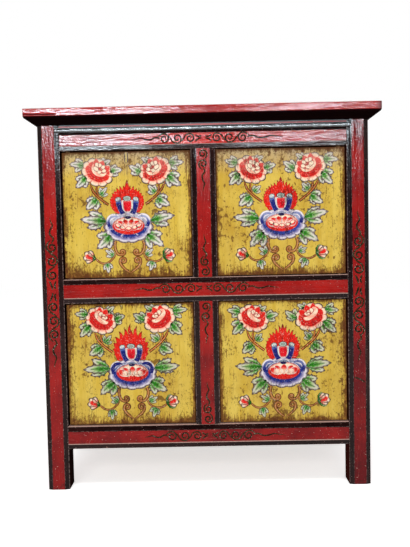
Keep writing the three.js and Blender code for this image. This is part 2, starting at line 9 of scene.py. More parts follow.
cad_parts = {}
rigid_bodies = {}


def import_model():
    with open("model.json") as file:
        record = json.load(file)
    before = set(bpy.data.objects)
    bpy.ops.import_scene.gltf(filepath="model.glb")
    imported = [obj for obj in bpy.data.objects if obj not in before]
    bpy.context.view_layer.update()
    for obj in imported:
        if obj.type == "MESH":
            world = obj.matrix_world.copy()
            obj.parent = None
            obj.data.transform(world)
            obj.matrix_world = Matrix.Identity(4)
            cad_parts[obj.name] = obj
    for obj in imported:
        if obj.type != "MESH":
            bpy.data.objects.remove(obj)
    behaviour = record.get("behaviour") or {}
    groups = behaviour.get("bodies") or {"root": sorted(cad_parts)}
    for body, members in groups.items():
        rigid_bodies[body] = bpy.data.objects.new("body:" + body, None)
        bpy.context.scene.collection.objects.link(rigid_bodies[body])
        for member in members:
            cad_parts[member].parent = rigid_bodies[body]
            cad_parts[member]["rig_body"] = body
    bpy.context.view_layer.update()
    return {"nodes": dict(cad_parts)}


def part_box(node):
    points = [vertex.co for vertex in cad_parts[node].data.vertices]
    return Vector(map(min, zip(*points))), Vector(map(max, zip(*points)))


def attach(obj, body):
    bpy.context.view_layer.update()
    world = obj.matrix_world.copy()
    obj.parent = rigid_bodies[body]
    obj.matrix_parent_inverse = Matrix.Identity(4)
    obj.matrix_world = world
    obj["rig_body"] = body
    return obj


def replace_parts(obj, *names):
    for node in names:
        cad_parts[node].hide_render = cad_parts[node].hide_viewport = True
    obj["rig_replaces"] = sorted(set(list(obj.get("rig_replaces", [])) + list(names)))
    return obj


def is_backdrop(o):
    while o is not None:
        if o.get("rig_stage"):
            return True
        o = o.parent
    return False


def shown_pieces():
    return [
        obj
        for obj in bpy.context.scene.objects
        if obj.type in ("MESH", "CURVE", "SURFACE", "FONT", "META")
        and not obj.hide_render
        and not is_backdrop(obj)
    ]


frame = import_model()
MM = 0.001
ACROSS, BACK, UP = 0, 1, 2


# Colour and shader helpers
def srgb(red, green, blue):
    """A colour read as eye values from 0 to 255, as linear light."""
    def linear(value):
        part = value / 255.0
        return part / 12.92 if part <= 0.04045 else ((part + 0.055) / 1.055) ** 2.4
    return (linear(red), linear(green), linear(blue))


def blend(first, second, part):
    """Two colours mixed the way the eye sees it."""
    part = min(1.0, max(0.0, part))
    return tuple((math.sqrt(a) * (1.0 - part) + math.sqrt(b) * part) ** 2 for a, b in zip(first, second))


class Value:
    """A shader socket whose arithmetic adds Math nodes."""

    def __init__(self, palette, socket):
        self.palette = palette
        self.socket = socket

    def math(self, operation, *terms):
        inputs = dict(enumerate((self,) + terms))
        return self.palette.node("ShaderNodeMath", {"operation": operation}, inputs)["Value"]

    def __add__(self, other):
        return self.math("ADD", other)

    __radd__ = __add__

    def __sub__(self, other):
        return self.math("SUBTRACT", other)

    def __rsub__(self, other):
        return self * -1.0 + other

    def __mul__(self, other):
        return self.math("MULTIPLY", other)

    __rmul__ = __mul__

    def __truediv__(self, other):
        return self.math("DIVIDE", other)

    def abs(self):
        return self.math("ABSOLUTE")

    def clamp(self):
        return self.math("MINIMUM", 1.0).math("MAXIMUM", 0.0)

    def above(self, edge, softness):
        """0 below the edge and 1 above it, over a soft step."""
        return ((self - (edge - softness / 2.0)) / softness).clamp()


class Palette:
    """The nodes of a finish or of the studio's light, and the ways to add to them."""

    def __init__(self, owner):
        owner.use_nodes = True
        self.tree = owner.node_tree

    def node(self, kind, settings=None, inputs=None):
        made = self.tree.nodes.new(kind)
        for key, value in (settings or {}).items():
            setattr(made, key, value)
        for key, value in (inputs or {}).items():
            self.feed(made.inputs[key], value)
        return {output.name: Value(self, output) for output in made.outputs if output.enabled}

    def feed(self, socket, value):
        if isinstance(value, Value):
            self.tree.links.new(value.socket, socket)
        elif isinstance(value, tuple) and len(value) == 3 and socket.type == "RGBA":
            socket.default_value = (*value, 1.0)
        else:
            socket.default_value = value

    def mix(self, factor, first, second):
        """Two colours. The numbers are the places of the colour sockets on a Mix node."""
        return self.node("ShaderNodeMix", {"data_type": "RGBA"}, {0: factor, 6: first, 7: second})["Result"]

    def shown(self):
        """1 for what the camera, a mirror or clear glass shows, and 0 for light that falls on things."""
        rays = self.node("ShaderNodeLightPath")
        mirrored = rays["Is Camera Ray"].math("MAXIMUM", rays["Is Glossy Ray"])
        return mirrored.math("MAXIMUM", rays["Is Transmission Ray"])


class Board(Palette):
    """One finish, mixed in a material of its own."""

    def __init__(self, name):
        self.material = bpy.data.materials.new(name)
        super().__init__(self.material)
        self.shader = self.tree.nodes["Principled BSDF"]
        self.object_place = self.node("ShaderNodeTexCoord")["Object"]

    def drawn_out(self, along, part, shift=(0.0, 0.0, 0.0)):
        """The places on a piece, so that a pattern is drawn out along one axis or moved."""
        scale = tuple(part if axis == along else 1.0 for axis in "XYZ")
        inputs = {"Vector": self.object_place, "Scale": scale, "Location": shift}
        return self.node("ShaderNodeMapping", {}, inputs)["Vector"]

    def noise(self, scale, detail=4.0, roughness=0.6, place=None, distortion=0.0):
        inputs = {"Vector": place or self.object_place, "Scale": scale, "Detail": detail}
        inputs.update({"Roughness": roughness, "Distortion": distortion})
        return self.node("ShaderNodeTexNoise", {}, inputs)["Fac"]

    def brushed(self, scale, along):
        """Fine ridges left by a brush that was pulled along one axis."""
        return self.noise(scale, place=self.drawn_out(along, 0.1), detail=4.0, roughness=0.65)

    def laid_on(self, along):
        """The height of lacquer laid on by hand: long brush waves with a fine grain over them."""
        pulled = self.drawn_out(along, 0.12)
        waves = self.noise(85.0, place=pulled, detail=1.0, roughness=0.5)
        ridges = self.noise(330.0, place=pulled, detail=1.0, roughness=0.5)
        return waves * 3.0 + ridges * 0.9 + self.noise(260.0, detail=1.0) * 0.5

    def attribute(self, name, output="Fac"):
        return self.node("ShaderNodeAttribute", {"attribute_name": name})[output]

    def separate(self, vector):
        return self.node("ShaderNodeSeparateXYZ", {}, {"Vector": vector})

    def bump(self, height, strength, distance):
        inputs = {"Height": height, "Strength": strength, "Distance": distance}
        normal = self.node("ShaderNodeBump", {}, inputs)["Normal"]
        self.feed(self.shader.inputs["Normal"], normal)

    def finish(self, colour, roughness, shine=0.5):
        self.feed(self.shader.inputs["Base Color"], colour)
        self.feed(self.shader.inputs["Roughness"], roughness)
        self.shader.inputs["Specular IOR Level"].default_value = shine
        return self.material


# Finishes
RED = srgb(168, 30, 26)
RED_DEEP = srgb(100, 14, 18)
RED_WORN = srgb(192, 92, 88)
# A brighter red: painted light on the upper middle of the top rail
RED_LIT = srgb(208, 44, 34)
BLACK = srgb(22, 8, 8)
BLACK_WARM = srgb(44, 22, 20)
BEAD_DEEP = srgb(12, 8, 10)
BEAD_WORN = srgb(60, 44, 42)
TRIM_BLACK = srgb(12, 5, 6)
TRIM_DEEP = srgb(24, 8, 8)
TRIM_WORN = srgb(40, 18, 18)
LEFT_LEG_WORN = srgb(60, 30, 30)
RIGHT_LEG_RED = srgb(66, 24, 20)
RIGHT_LEG_WORN = srgb(90, 50, 44)
EDGE_PALE = srgb(150, 126, 120)
LEDGE_PALE = srgb(196, 160, 148)
OCHRE = srgb(207, 173, 63)
OCHRE_PALE = srgb(220, 192, 90)
OCHRE_DEEP = srgb(168, 124, 40)
STAIN_BROWN = srgb(112, 54, 28)
SPECKLE_DARK = srgb(40, 24, 18)
SPECKLE_BROWN = srgb(86, 52, 22)
BLOTCH_BROWN = srgb(88, 48, 26)
# A pale grey: painted glare near the top of the upper doors
GLARE_GREY = srgb(186, 170, 158)
GRIT_PALE = srgb(238, 228, 206)
BRUSH_PALE = srgb(248, 232, 205)
FOOT_DARK = srgb(52, 20, 20)
BRUISE_DARK = srgb(52, 12, 18)
STAINED_BROWN = srgb(96, 52, 34)
STAINED_DEEP = srgb(62, 32, 24)
BARE_TAN = srgb(168, 134, 92)
BARE_DEEP = srgb(128, 94, 60)


def antique(board, colour, amount):
    """Dark specks rubbed into the pores of the painting."""
    fine = board.noise(620.0, detail=3.0, roughness=0.7)
    upright = board.noise(260.0, place=board.drawn_out("Z", 0.28), detail=4.0, roughness=0.7)
    cloud = board.noise(9.0, detail=3.0)
    pores = (fine * 0.55 + upright * 0.6 + cloud * 0.42).above(0.87, 0.1)
    return board.mix(pores * amount, colour, SPECKLE_DARK), pores


# Where the finish of the frame changes: heights above the floor and distances from the middle, in metres
BEAD_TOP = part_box("bead_moulding")[1].z
LOW_SHADE_TOP = 0.45
RIGHT_SHADE_START = 0.3
RIGHT_SHADE_WIDTH = 0.03
# Where the painted light on the top rail starts, and how far it reaches to either side of the middle
LIT_RED_FROM = 0.79
LIT_RED_REACH = 0.2
SCUFF_TOP = 0.07
LEG_HEAD_FROM = 0.8
LEG_HEAD_DEPTH = 0.06
# How high the relief of lacquer, rubbed ground and brushwork stands
GRAIN_HEIGHT = 0.5 * MM
PORE_HEIGHT = 0.7 * MM
BRUSH_HEIGHT = 0.6 * MM


def lacquered_frame(along):
    """Red band with black borders, brushed along one axis. Attribute band is 1 where the bevels start."""
    board = Board(f"red_and_black_lacquer_{along}")
    band = board.attribute("band").abs()
    rim = board.attribute("rim")
    place = board.separate(board.object_place)
    across, height = place["X"], place["Z"]
    wobble = board.noise(45.0, detail=3.0) * 0.2 - 0.1
    border = (band + wobble).above(0.95, 0.05)
    cloud = board.noise(14.0, detail=5.0)
    ridges = board.brushed(320.0, along)
    low_down = (1.0 - height / LOW_SHADE_TOP).clamp() * 0.5
    rightmost = ((across - RIGHT_SHADE_START) / RIGHT_SHADE_WIDTH).clamp() * 0.35
    red = board.mix((cloud.above(0.55, 0.3) * 0.7 + low_down + rightmost).clamp(), RED, RED_DEEP)
    red = board.mix(ridges.above(0.66, 0.1) * 0.35, red, RED_WORN)
    # Painted light: the upper middle of the top rail is painted a brighter red, as if lit
    if along == "X":
        lit_middle = (1.0 - across.abs() / LIT_RED_REACH).clamp()
        red = board.mix(height.above(LIT_RED_FROM, 0.02) * lit_middle, red, RED_LIT)
    scuff = board.noise(60.0, detail=6.0, roughness=0.7).above(0.56, 0.1)
    scuff = scuff * (1.0 - height / SCUFF_TOP).clamp()
    red = board.mix(scuff * 0.8, red, FOOT_DARK)
    black = board.mix(cloud.above(0.56, 0.3), BLACK, BLACK_WARM)
    colour = board.mix(border, red, black)
    chips = board.noise(190.0, detail=6.0, roughness=0.7)
    arris = 1.0 - ((band - 1.02).abs() / 0.05).clamp()
    outer = (band - rim).above(-0.1, 0.1)
    worn = (arris * chips.above(0.53, 0.14) * 0.6 + outer * chips.above(0.5, 0.14) * 0.7).clamp()
    colour = board.mix(worn, colour, EDGE_PALE)
    ledge = board.attribute("ledge")
    colour = board.mix((ledge * (0.55 + chips)).clamp() * 0.9, colour, LEDGE_PALE)
    speck = board.noise(420.0, detail=4.0, roughness=0.75).above(0.63, 0.05)
    colour = board.mix(speck * 0.8, colour, SPECKLE_DARK)
    if along == "Z":
        drops = board.noise(150.0, detail=4.0, roughness=0.7).above(0.52, 0.06)
        head = ((height - LEG_HEAD_FROM) / LEG_HEAD_DEPTH).clamp() * drops
        colour = board.mix(head * 0.75, colour, BLACK)
    moved = board.drawn_out("Z", 1.0, (0.4, 0.2, 0.7))
    fleck = board.noise(330.0, detail=2.0, roughness=0.5, place=moved)
    colour = board.mix(fleck.above(0.72, 0.03) * 0.75, colour, LEDGE_PALE)
    roughness = 0.1 + chips * 0.05
    if along == "X":
        roughness = roughness + height.above(BEAD_TOP, GRAIN_HEIGHT) * 0.24
    board.bump(board.laid_on(along), 1.0, GRAIN_HEIGHT)
    return board.finish(colour, roughness, shine=0.12)


def plain_lacquer(name, base, deep, worn_colour, along, rough=0.07, shine=0.13, dimples=0.0):
    """Lacquer of one colour. Attribute own_board shifts its tone and bruise is 1 where it is dark."""
    board = Board(name)
    own = board.attribute("own_board")
    cloud = board.noise(12.0, detail=5.0)
    colour = board.mix((cloud.above(0.55, 0.7) * 0.6 + own * 0.15).clamp(), base, deep)
    grain = board.brushed(200.0, along)
    colour = board.mix(grain.above(0.63, 0.12) * 0.25, colour, worn_colour)
    speck = board.noise(430.0, detail=4.0, roughness=0.75).above(0.66, 0.05)
    colour = board.mix(speck * 0.7, colour, SPECKLE_DARK)
    bruise = board.attribute("bruise")
    colour = board.mix(bruise, colour, BRUISE_DARK)
    board.bump(board.laid_on(along) + board.noise(130.0, detail=3.0) * dimples, 1.0, GRAIN_HEIGHT)
    return board.finish(colour, rough + grain * 0.06 + bruise * 0.5, shine=shine)


def painted_glare(board, colour, streak):
    """Painted highlight: a pale grey laid where the painted-glare attribute rises, near the top of the upper
    doors.
    """
    fade = board.attribute("fade")
    return board.mix((fade * (0.3 + streak)).clamp() * 0.7, colour, GLARE_GREY)


def door_ground():
    """Ochre ground, rubbed and stained. Attribute grime is 0 on the open field and 1 at the worst edge."""
    board = Board("ochre_ground")
    streak = board.noise(60.0, place=board.drawn_out("Z", 0.12), detail=6.0, roughness=0.65)
    cloud = board.noise(11.0, detail=4.0)
    grime = board.attribute("grime")
    stain = board.noise(30.0, place=board.drawn_out("Z", 0.55), detail=6.0, roughness=0.72)
    fine = board.noise(700.0, detail=4.0, roughness=0.75)
    blots = board.noise(210.0, place=board.drawn_out("Z", 0.6), detail=5.0, roughness=0.75)
    scratch = board.noise(420.0, place=board.drawn_out("Z", 0.04), detail=3.0, roughness=0.6)
    colour = board.mix(streak.above(0.5, 0.3), OCHRE, OCHRE_PALE)
    colour = board.mix(cloud.above(0.56, 0.3) * 0.6, colour, OCHRE_DEEP)
    # Painted highlight: the top of an upper door is greyed pale, as if lit by glare
    colour = painted_glare(board, colour, streak)
    edge = (grime * 0.75 + stain * 1.6 + (blots - 0.5) * 0.5).above(1.38, 0.26)
    colour = board.mix(edge * 0.68, colour, STAIN_BROWN)
    scratches = (scratch + grime * 0.25 + stain * 0.3).above(0.81, 0.08)
    colour = board.mix(scratches * 0.6, colour, STAIN_BROWN)
    # The pores take a little more brown where the painted glare lies, near the top of the upper doors
    rubbed = board.attribute("fade") * 0.07
    pores = (fine * 0.35 + blots * 0.75 + stain * 0.45 + grime * 0.12 + rubbed).above(0.87, 0.08)
    colour = board.mix(pores * 0.75, colour, SPECKLE_BROWN)
    spots = board.noise(130.0, detail=2.0, roughness=0.6)
    colour = board.mix((spots + stain * 0.2 + grime * 0.06).above(0.83, 0.03) * 0.8, colour, SPECKLE_BROWN)
    moved = board.drawn_out("Z", 0.8, (0.3, 0.1, 0.6))
    blotch = board.noise(85.0, place=moved, detail=3.0, roughness=0.6)
    blotches = (blotch + cloud * 0.6 + grime * 0.08).above(0.96, 0.05)
    colour = board.mix(blotches * 0.75, colour, BLOTCH_BROWN)
    board.bump(streak * 0.5 + fine * 0.4 - pores * 0.5 - blotches * 0.4, 0.4, PORE_HEIGHT)
    return board.finish(colour, 0.5 + pores * 0.2, shine=0.12)


def pigment_paint(name, rough, shine):
    """Colours laid by hand, carried by the attribute pigment."""
    board = Board(name)
    colour = board.attribute("pigment", "Color")
    brush = board.noise(300.0, detail=4.0, roughness=0.6)
    colour = board.mix(brush.above(0.6, 0.2) * 0.05, colour, BRUSH_PALE)
    # Painted highlight: the painting near the top of an upper door is greyed pale as well
    colour = painted_glare(board, colour, brush * 0.6)
    moved = board.drawn_out("Z", 1.0, (0.7, 0.3, 0.2))
    grit = board.noise(360.0, detail=2.0, roughness=0.6, place=moved)
    colour = board.mix(grit.above(0.66, 0.05) * 0.45, colour, GRIT_PALE)
    colour, pores = antique(board, colour, 0.8)
    board.bump(brush * 0.6 - pores * 0.5, 0.35, BRUSH_HEIGHT)
    return board.finish(colour, rough + pores * 0.2, shine=shine)


def timber(name, base, deep, grain_axis):
    """Plain wood with the grain running along one axis."""
    board = Board(name)
    own = board.attribute("own_board")
    place = board.drawn_out(grain_axis, 0.08, own * 5.0)
    fibre = board.noise(160.0, place=place, detail=6.0, roughness=0.7)
    figure = board.noise(18.0, place=place, detail=3.0, distortion=1.2)
    colour = board.mix((fibre * 0.6 + figure * 0.4 + own * 0.12 - 0.06).above(0.5, 0.3), base, deep)
    board.bump(fibre, 0.3, BRUSH_HEIGHT)
    return board.finish(colour, 0.6 + fibre * 0.2)


FRAME_LACQUER = {axis: lacquered_frame(axis) for axis in "XZ"}
RED_BOARD = {
    axis: plain_lacquer(f"red_board_lacquer_{axis}", RED, RED_DEEP, RED_WORN, axis) for axis in "XYZ"
}
BEAD_LACQUER = plain_lacquer("bead_lacquer", BLACK, BEAD_DEEP, BEAD_WORN, "X", 0.24, 1.0, dimples=5.0)
BLACK_TRIM = plain_lacquer("black_trim_lacquer", TRIM_BLACK, TRIM_DEEP, TRIM_WORN, "X", 0.5, 0.0)
LEG_TONES = {"left": (BLACK, BLACK_WARM, LEFT_LEG_WORN), "right": (RIGHT_LEG_RED, BLACK_WARM, RIGHT_LEG_WORN)}
LEG_INSIDE = {
    side: plain_lacquer(f"{side}_leg_inner_lacquer", *tones, "Z", 0.6, 0.0)
    for side, tones in LEG_TONES.items()
}
GROUND = door_ground()
PAINTING = pigment_paint("raised_painting", 0.55, 0.05)
SCROLL_PAINT = pigment_paint("scroll_painting", 0.3, 0.05)
STAINED = {axis: timber(f"stained_wood_{axis}", STAINED_BROWN, STAINED_DEEP, axis) for axis in "XYZ"}
BARE = {axis: timber(f"bare_wood_{axis}", BARE_TAN, BARE_DEEP, axis) for axis in "XYZ"}


# Worked timber: a merged copy of the solid with its arrises rubbed round
MERGE_REACH = 0.01 * MM
FLAT_TURN = math.radians(1.0)
ARRIS_TURN = math.radians(12.0)
FRAME_ARRIS = 0.9 * MM
BOARD_ARRIS = 1.2 * MM
PLAIN_ARRIS = 0.8 * MM
TRIM_ARRIS = 0.5 * MM
PIN_ARRIS = 0.3 * MM
# How many tones there are among boards of one finish
BOARD_TONES = 11


def long_axis(node):
    low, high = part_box(node)
    spans = [high[i] - low[i] for i in range(3)]
    return "XYZ"[spans.index(max(spans))]


def body_holding(node):
    return frame["nodes"][node].get("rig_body")


def new_object(name, data):
    made = bpy.data.objects.new(name, data)
    bpy.context.scene.collection.objects.link(made)
    return made


def pick(*pieces):
    """Selects these pieces alone. The first is the active one."""
    bpy.ops.object.select_all(action="DESELECT")
    for piece in pieces:
        piece.select_set(True)
    bpy.context.view_layer.objects.active = pieces[0]


def open_mesh(piece):
    """Takes one piece into edit mode with all of it selected."""
    pick(piece)
    bpy.ops.object.mode_set(mode="EDIT")
    bpy.ops.mesh.select_all(action="SELECT")


def close_mesh():
    bpy.ops.object.mode_set(mode="OBJECT")


def coat(piece, material):
    piece.data.materials.clear()
    piece.data.materials.append(material)


def keep_faces_flat(piece):
    """Soft light only on the rounded arrises; the broad faces stay flat."""
    pick(piece)
    bpy.ops.object.shade_smooth()
    weighted = piece.modifiers.new("broad_faces_lead", "WEIGHTED_NORMAL")
    weighted.weight = 100
    bpy.ops.object.modifier_apply(modifier=weighted.name)


def worked_copy(node, rounding, material):
    """The piece that dresses a solid: flat faces made whole, arrises rubbed and a finish laid on."""
    piece = new_object(f"{node}_worked", frame["nodes"][node].data.copy())
    open_mesh(piece)
    bpy.ops.mesh.remove_doubles(threshold=MERGE_REACH)
    bpy.ops.mesh.dissolve_limited(angle_limit=FLAT_TURN)
    close_mesh()
    bevel = piece.modifiers.new("rubbed_arrises", "BEVEL")
    bevel.width = rounding
    bevel.segments = 2
    bevel.limit_method = "ANGLE"
    bevel.angle_limit = ARRIS_TURN
    bpy.ops.object.modifier_apply(modifier=bevel.name)
    keep_faces_flat(piece)
    own = sum(ord(letter) * (place + 1) for place, letter in enumerate(node)) % BOARD_TONES / BOARD_TONES
    write_attribute(piece, "own_board", lambda co: own)
    coat(piece, material)
    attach(piece, body_holding(node))
    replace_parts(piece, node)
    return piece


def write_attribute(piece, name, rule):
    """Gives each point of a piece a value that its finish reads."""
    values = piece.data.attributes.new(name, "FLOAT", "POINT")
    for vertex in piece.data.vertices:
        values.data[vertex.index].value = rule(vertex.co)


def cut_through(piece, cuts, **ways):
    """Cuts the whole surface square to an axis at each place, so that points stand where a finish changes."""
    open_mesh(piece)
    for axis, level in cuts:
        place, normal = Vector(), Vector()
        place[axis], normal[axis] = level, 1.0
        bpy.ops.mesh.select_all(action="SELECT")
        bpy.ops.mesh.bisect(plane_co=place, plane_no=normal, **ways)
    close_mesh()


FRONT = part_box("front_mid_rail")[0].y
FRONT_FACE_DEPTH = 6.0 * MM
LEDGE_CUT = 1.6 * MM
LEDGE_DEPTH = 1.2 * MM
ARRIS_CUT = 1.4 * MM
ARRIS_REACH = 0.7 * MM
LEG_OUTER_BORDER = 10 * MM
LEG_INNER_BORDER = 11 * MM
LEG_BORDERS = {
    "left": (LEG_OUTER_BORDER, LEG_INNER_BORDER),
    "right": (LEG_INNER_BORDER, LEG_OUTER_BORDER),
}
RAIL_BORDER = 12 * MM
TOP_RAIL_BORDER = 10 * MM
BEAD_GROOVE = 5.5 * MM
BEAD_SHADOW = 1.0 * MM
STRIP_LOW, STRIP_HIGH = 2.2 * MM, 5.0 * MM
STRIP_CUTS = (2.0 * MM, 2.4 * MM, 4.8 * MM, 5.2 * MM)


def mark_ledge(piece, top, red_start):
    """Hands have rubbed a rail pale on its upper ledge and on the arris under its red band."""
    levels = (top - LEDGE_CUT, red_start + ARRIS_CUT, red_start - ARRIS_CUT)
    cut_through(piece, [(UP, level) for level in levels])
    keep_faces_flat(piece)

    def ledge(co):
        if co.z > top - LEDGE_DEPTH:
            return 1.0
        return 0.85 if abs(co.z - red_start) < ARRIS_REACH else 0.0

    write_attribute(piece, "ledge", ledge)


def banded_piece(node, axis, low_border, high_border):
    """A frame member whose red band lies between two borders across the given axis."""
    low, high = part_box(node)
    start, end = low[axis] + low_border, high[axis] - high_border
    middle, half = (start + end) / 2.0, (end - start) / 2.0
    piece = worked_copy(node, FRAME_ARRIS, FRAME_LACQUER["X" if axis == UP else "Z"])
    outermost = max(middle - low[axis], high[axis] - middle) / half
    write_attribute(piece, "band", lambda co: (co[axis] - middle) / half)
    write_attribute(piece, "rim", lambda co: outermost + (co.y > FRONT + FRONT_FACE_DEPTH))
    if axis == UP:
        mark_ledge(piece, high.z, start)
    return piece


def front_frame():
    """Legs, stiles and rails. The outer face of a leg is plain red, and its inner face is dark."""
    for side, borders in LEG_BORDERS.items():
        leg = banded_piece(f"front_leg_{side}", ACROSS, *borders)
        leg.data.materials.append(RED_BOARD["Z"])
        leg.data.materials.append(LEG_INSIDE[side])
        outward = -1.0 if side == "left" else 1.0
        for face in leg.data.polygons:
            out = face.normal.x * outward
            face.material_index = 1 if out > 0.9 else 2 if out < -0.9 else 0
    for name in ("lower_centre_stile", "upper_centre_stile"):
        banded_piece(name, ACROSS, RAIL_BORDER, RAIL_BORDER)
    for name in ("front_bottom_rail", "front_mid_rail"):
        banded_piece(name, UP, RAIL_BORDER, RAIL_BORDER)
    top_rail()


def top_rail():
    """The red band runs from the lower bevel to the groove below the bead, and again above the bead."""
    low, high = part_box("front_top_rail")
    bead_low, bead_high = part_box("bead_moulding")
    start = low.z + TOP_RAIL_BORDER
    end = bead_low.z - BEAD_GROOVE
    middle, half = (start + end) / 2.0, (end - start) / 2.0
    piece = worked_copy("front_top_rail", FRAME_ARRIS, FRAME_LACQUER["X"])

    def band(co):
        if co.z > bead_low.z - BEAD_SHADOW:
            return 0.0 if STRIP_LOW < co.z - bead_high.z < STRIP_HIGH else 1.4
        return (co.z - middle) / half

    cut_through(piece, [(UP, bead_high.z + level) for level in STRIP_CUTS])
    write_attribute(piece, "band", band)
    write_attribute(piece, "rim", lambda co: (middle - low.z) / half + (co.y > FRONT + FRONT_FACE_DEPTH))
    mark_ledge(piece, high.z, start)


# The top board: a split at the foot of its front edge, a bruised corner and a black underside
NEAR = 0.5 * MM
SPLIT_HEIGHT = 4.6 * MM
SPLIT_FOOT = 2.4 * MM
SPLIT_LENGTH = 74.0 * MM
SPLIT_END = 0.8 * MM
SPLIT_DEPTH = 2.0 * MM
BRUISED_CORNER = 15.0 * MM
CORNER_ARRIS = 2.0 * MM
BRUISE_DEPTH = 3.0 * MM
EDGE_SLICE = 4.0 * MM


def blacken_below(piece):
    """The underside of the top board carries the black of the cornice."""
    piece.data.materials.append(BLACK_TRIM)
    for face in piece.data.polygons:
        face.material_index = 1 if face.normal.z < -0.5 else 0


def split_front_edge(piece):
    """Presses a groove along the split at the left, and marks the bruises there and at the right corner."""
    low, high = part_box("top_board_front")
    line, end, corner = low.z + SPLIT_HEIGHT, low.x + SPLIT_LENGTH, high.x - BRUISED_CORNER
    levels = (low.z + SPLIT_FOOT, line - MM, line, line + MM)
    places = (end, end + SPLIT_END, corner, high.x - CORNER_ARRIS)
    cut_through(piece, [(UP, level) for level in levels] + [(ACROSS, place) for place in places])
    open_mesh(piece)
    bpy.ops.mesh.select_mode(type="VERT")
    bpy.ops.mesh.select_all(action="DESELECT")
    close_mesh()
    for point in piece.data.vertices:
        on_line = abs(point.co.z - line) < NEAR and point.co.y < low.y + NEAR
        point.select = on_line and low.x + MM < point.co.x < end + SPLIT_END / 2.0
    bpy.ops.object.mode_set(mode="EDIT")
    bpy.ops.transform.translate(value=(0.0, SPLIT_DEPTH, 0.0))
    close_mesh()
    keep_faces_flat(piece)

    def bruise(co):
        if co.y > low.y + BRUISE_DEPTH:
            return 0.0
        if co.x < end + SPLIT_END / 2.0:
            return 1.0 if abs(co.z - line) < NEAR else 0.22 * (co.z < line)
        return 0.75 if co.x > corner + MM else 0.0

    write_attribute(piece, "bruise", bruise)


def part_front_edge(plank):
    """The front edge becomes a piece of its own, so that the windows shine on it and not on the top."""
    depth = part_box("top_board_front")[0].y + EDGE_SLICE
    edge = new_object("top_board_front_edge", plank.data.copy())
    for piece, outer in ((edge, True), (plank, False)):
        cut_through(piece, [(BACK, depth)], use_fill=True, clear_outer=outer, clear_inner=not outer)
        keep_faces_flat(piece)
    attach(edge, "cabinet")


def top_board(name):
    plank = worked_copy(name, BOARD_ARRIS, RED_BOARD["X"])
    if name.endswith("rear"):
        blacken_below(plank)
        return
    split_front_edge(plank)
    blacken_below(plank)
    part_front_edge(plank)


def other_timber():
    """Dresses every solid that nothing dresses yet."""
    handled = {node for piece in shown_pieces() for node in piece.get("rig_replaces", [])}
    for name in sorted(frame["nodes"]):
        if name in handled or name.endswith("door_panel"):
            continue
        axis = long_axis(name)
        if name.startswith("cornice"):
            worked_copy(name, TRIM_ARRIS, BLACK_TRIM)
        elif name.startswith("bead"):
            worked_copy(name, TRIM_ARRIS, BEAD_LACQUER)
        elif name.startswith("top_board"):
            top_board(name)
        elif name.startswith("side_"):
            worked_copy(name, FRAME_ARRIS, RED_BOARD[axis])
        elif name.startswith(("rear_leg", "back_top", "back_bottom")) or "stop" in name or "batten" in name:
            worked_copy(name, FRAME_ARRIS, STAINED[axis])
        elif name.endswith("_pin"):
            worked_copy(name, PIN_ARRIS, BARE["Z"])
        else:
            worked_copy(name, PLAIN_ARRIS, BARE[axis])


# How far in mm the dirt reaches from each edge of a door: left, right, bottom, top
GRIME = {
    "lower_left_door": (24, 14, 26, 14),
    "lower_right_door": (18, 22, 24, 10),
    "upper_left_door": (18, 16, 38, 10),
    "upper_right_door": (8, 20, 28, 10),
}
# How far down from the top of an upper door the painted glare reaches
GLARE_DEPTH = 60.0 * MM
FIELD_CUTS = (0.98, 0.95, 0.91, 0.86, 0.8, 0.72, 0.6, 0.4, 0.15)


def door_panels():
    for door, reaches in GRIME.items():
        name = f"{door}_panel"
        low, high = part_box(name)
        piece = worked_copy(name, BOARD_ARRIS, GROUND)
        cut_into_fields(piece, (low + high) / 2.0, (high - low) / 2.0)
        keep_faces_flat(piece)
        write_attribute(piece, "grime", lambda co: grime_at(co, low, high, reaches))
        # Painted glare toward the top of the upper doors
        write_attribute(piece, "fade", glare_reach(door))


def cut_into_fields(piece, middle, half):
    """Cuts the face into a net of fields so that its points can carry the dirt and the painted glare."""
    cut_through(piece, [
        (axis, middle[axis] + half[axis] * signed)
        for part in FIELD_CUTS for signed in (-part, part) for axis in (ACROSS, UP)
    ])


def grime_at(co, low, high, reaches):
    """1 at an edge and 0 beyond the reach of its dirt; the corners gather the dirt of both edges."""
    distances = (co.x - low.x, high.x - co.x, co.z - low.z, high.z - co.z)
    parts = [max(0.0, 1.0 - gap / (reach * MM)) for gap, reach in zip(distances, reaches)]
    return min(1.0, max(parts) + 0.35 * (sum(parts) - max(parts)))


def glare_reach(door):
    """A rule that gives how much painted glare a point carries: only the upper doors have it, toward their
    top.
    """
    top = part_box(f"{door}_panel")[1].z
    strength = 1.0 if door.startswith("upper") else 0.0
    return lambda co: strength * max(0.0, 1.0 - (top - co.z) / GLARE_DEPTH)


front_frame()
door_panels()
other_timber()


# Painting: every motif is a sheet of gesso laid on a face, in mm from the middle of that face
PETAL_CREAM = srgb(250, 226, 196)
PETAL_PINK = srgb(246, 168, 142)
PETAL_RED = srgb(222, 34, 28)
PETAL_DEEP = srgb(150, 16, 26)
FLAME_RED = srgb(226, 34, 22)
FLAME_TIP = srgb(104, 16, 22)
LEAF_DEEP = srgb(18, 84, 22)
LEAF_GREEN = srgb(50, 136, 26)
LEAF_MINT = srgb(156, 188, 112)
LEAF_PALE = srgb(196, 194, 166)
LEAF_WHITE = srgb(226, 220, 206)
LINE_MAROON = srgb(40, 14, 16)
LINE_GREY = srgb(84, 64, 78)
JEWEL_BLUE = srgb(22, 32, 112)
JEWEL_BLUE_LIGHT = srgb(70, 104, 190)
JEWEL_RED = srgb(220, 16, 36)
JEWEL_GREY = srgb(96, 116, 100)
JEWEL_WHITE = srgb(226, 228, 222)
LOTUS_WHITE = srgb(232, 224, 226)
LOTUS_LILAC = srgb(176, 164, 200)
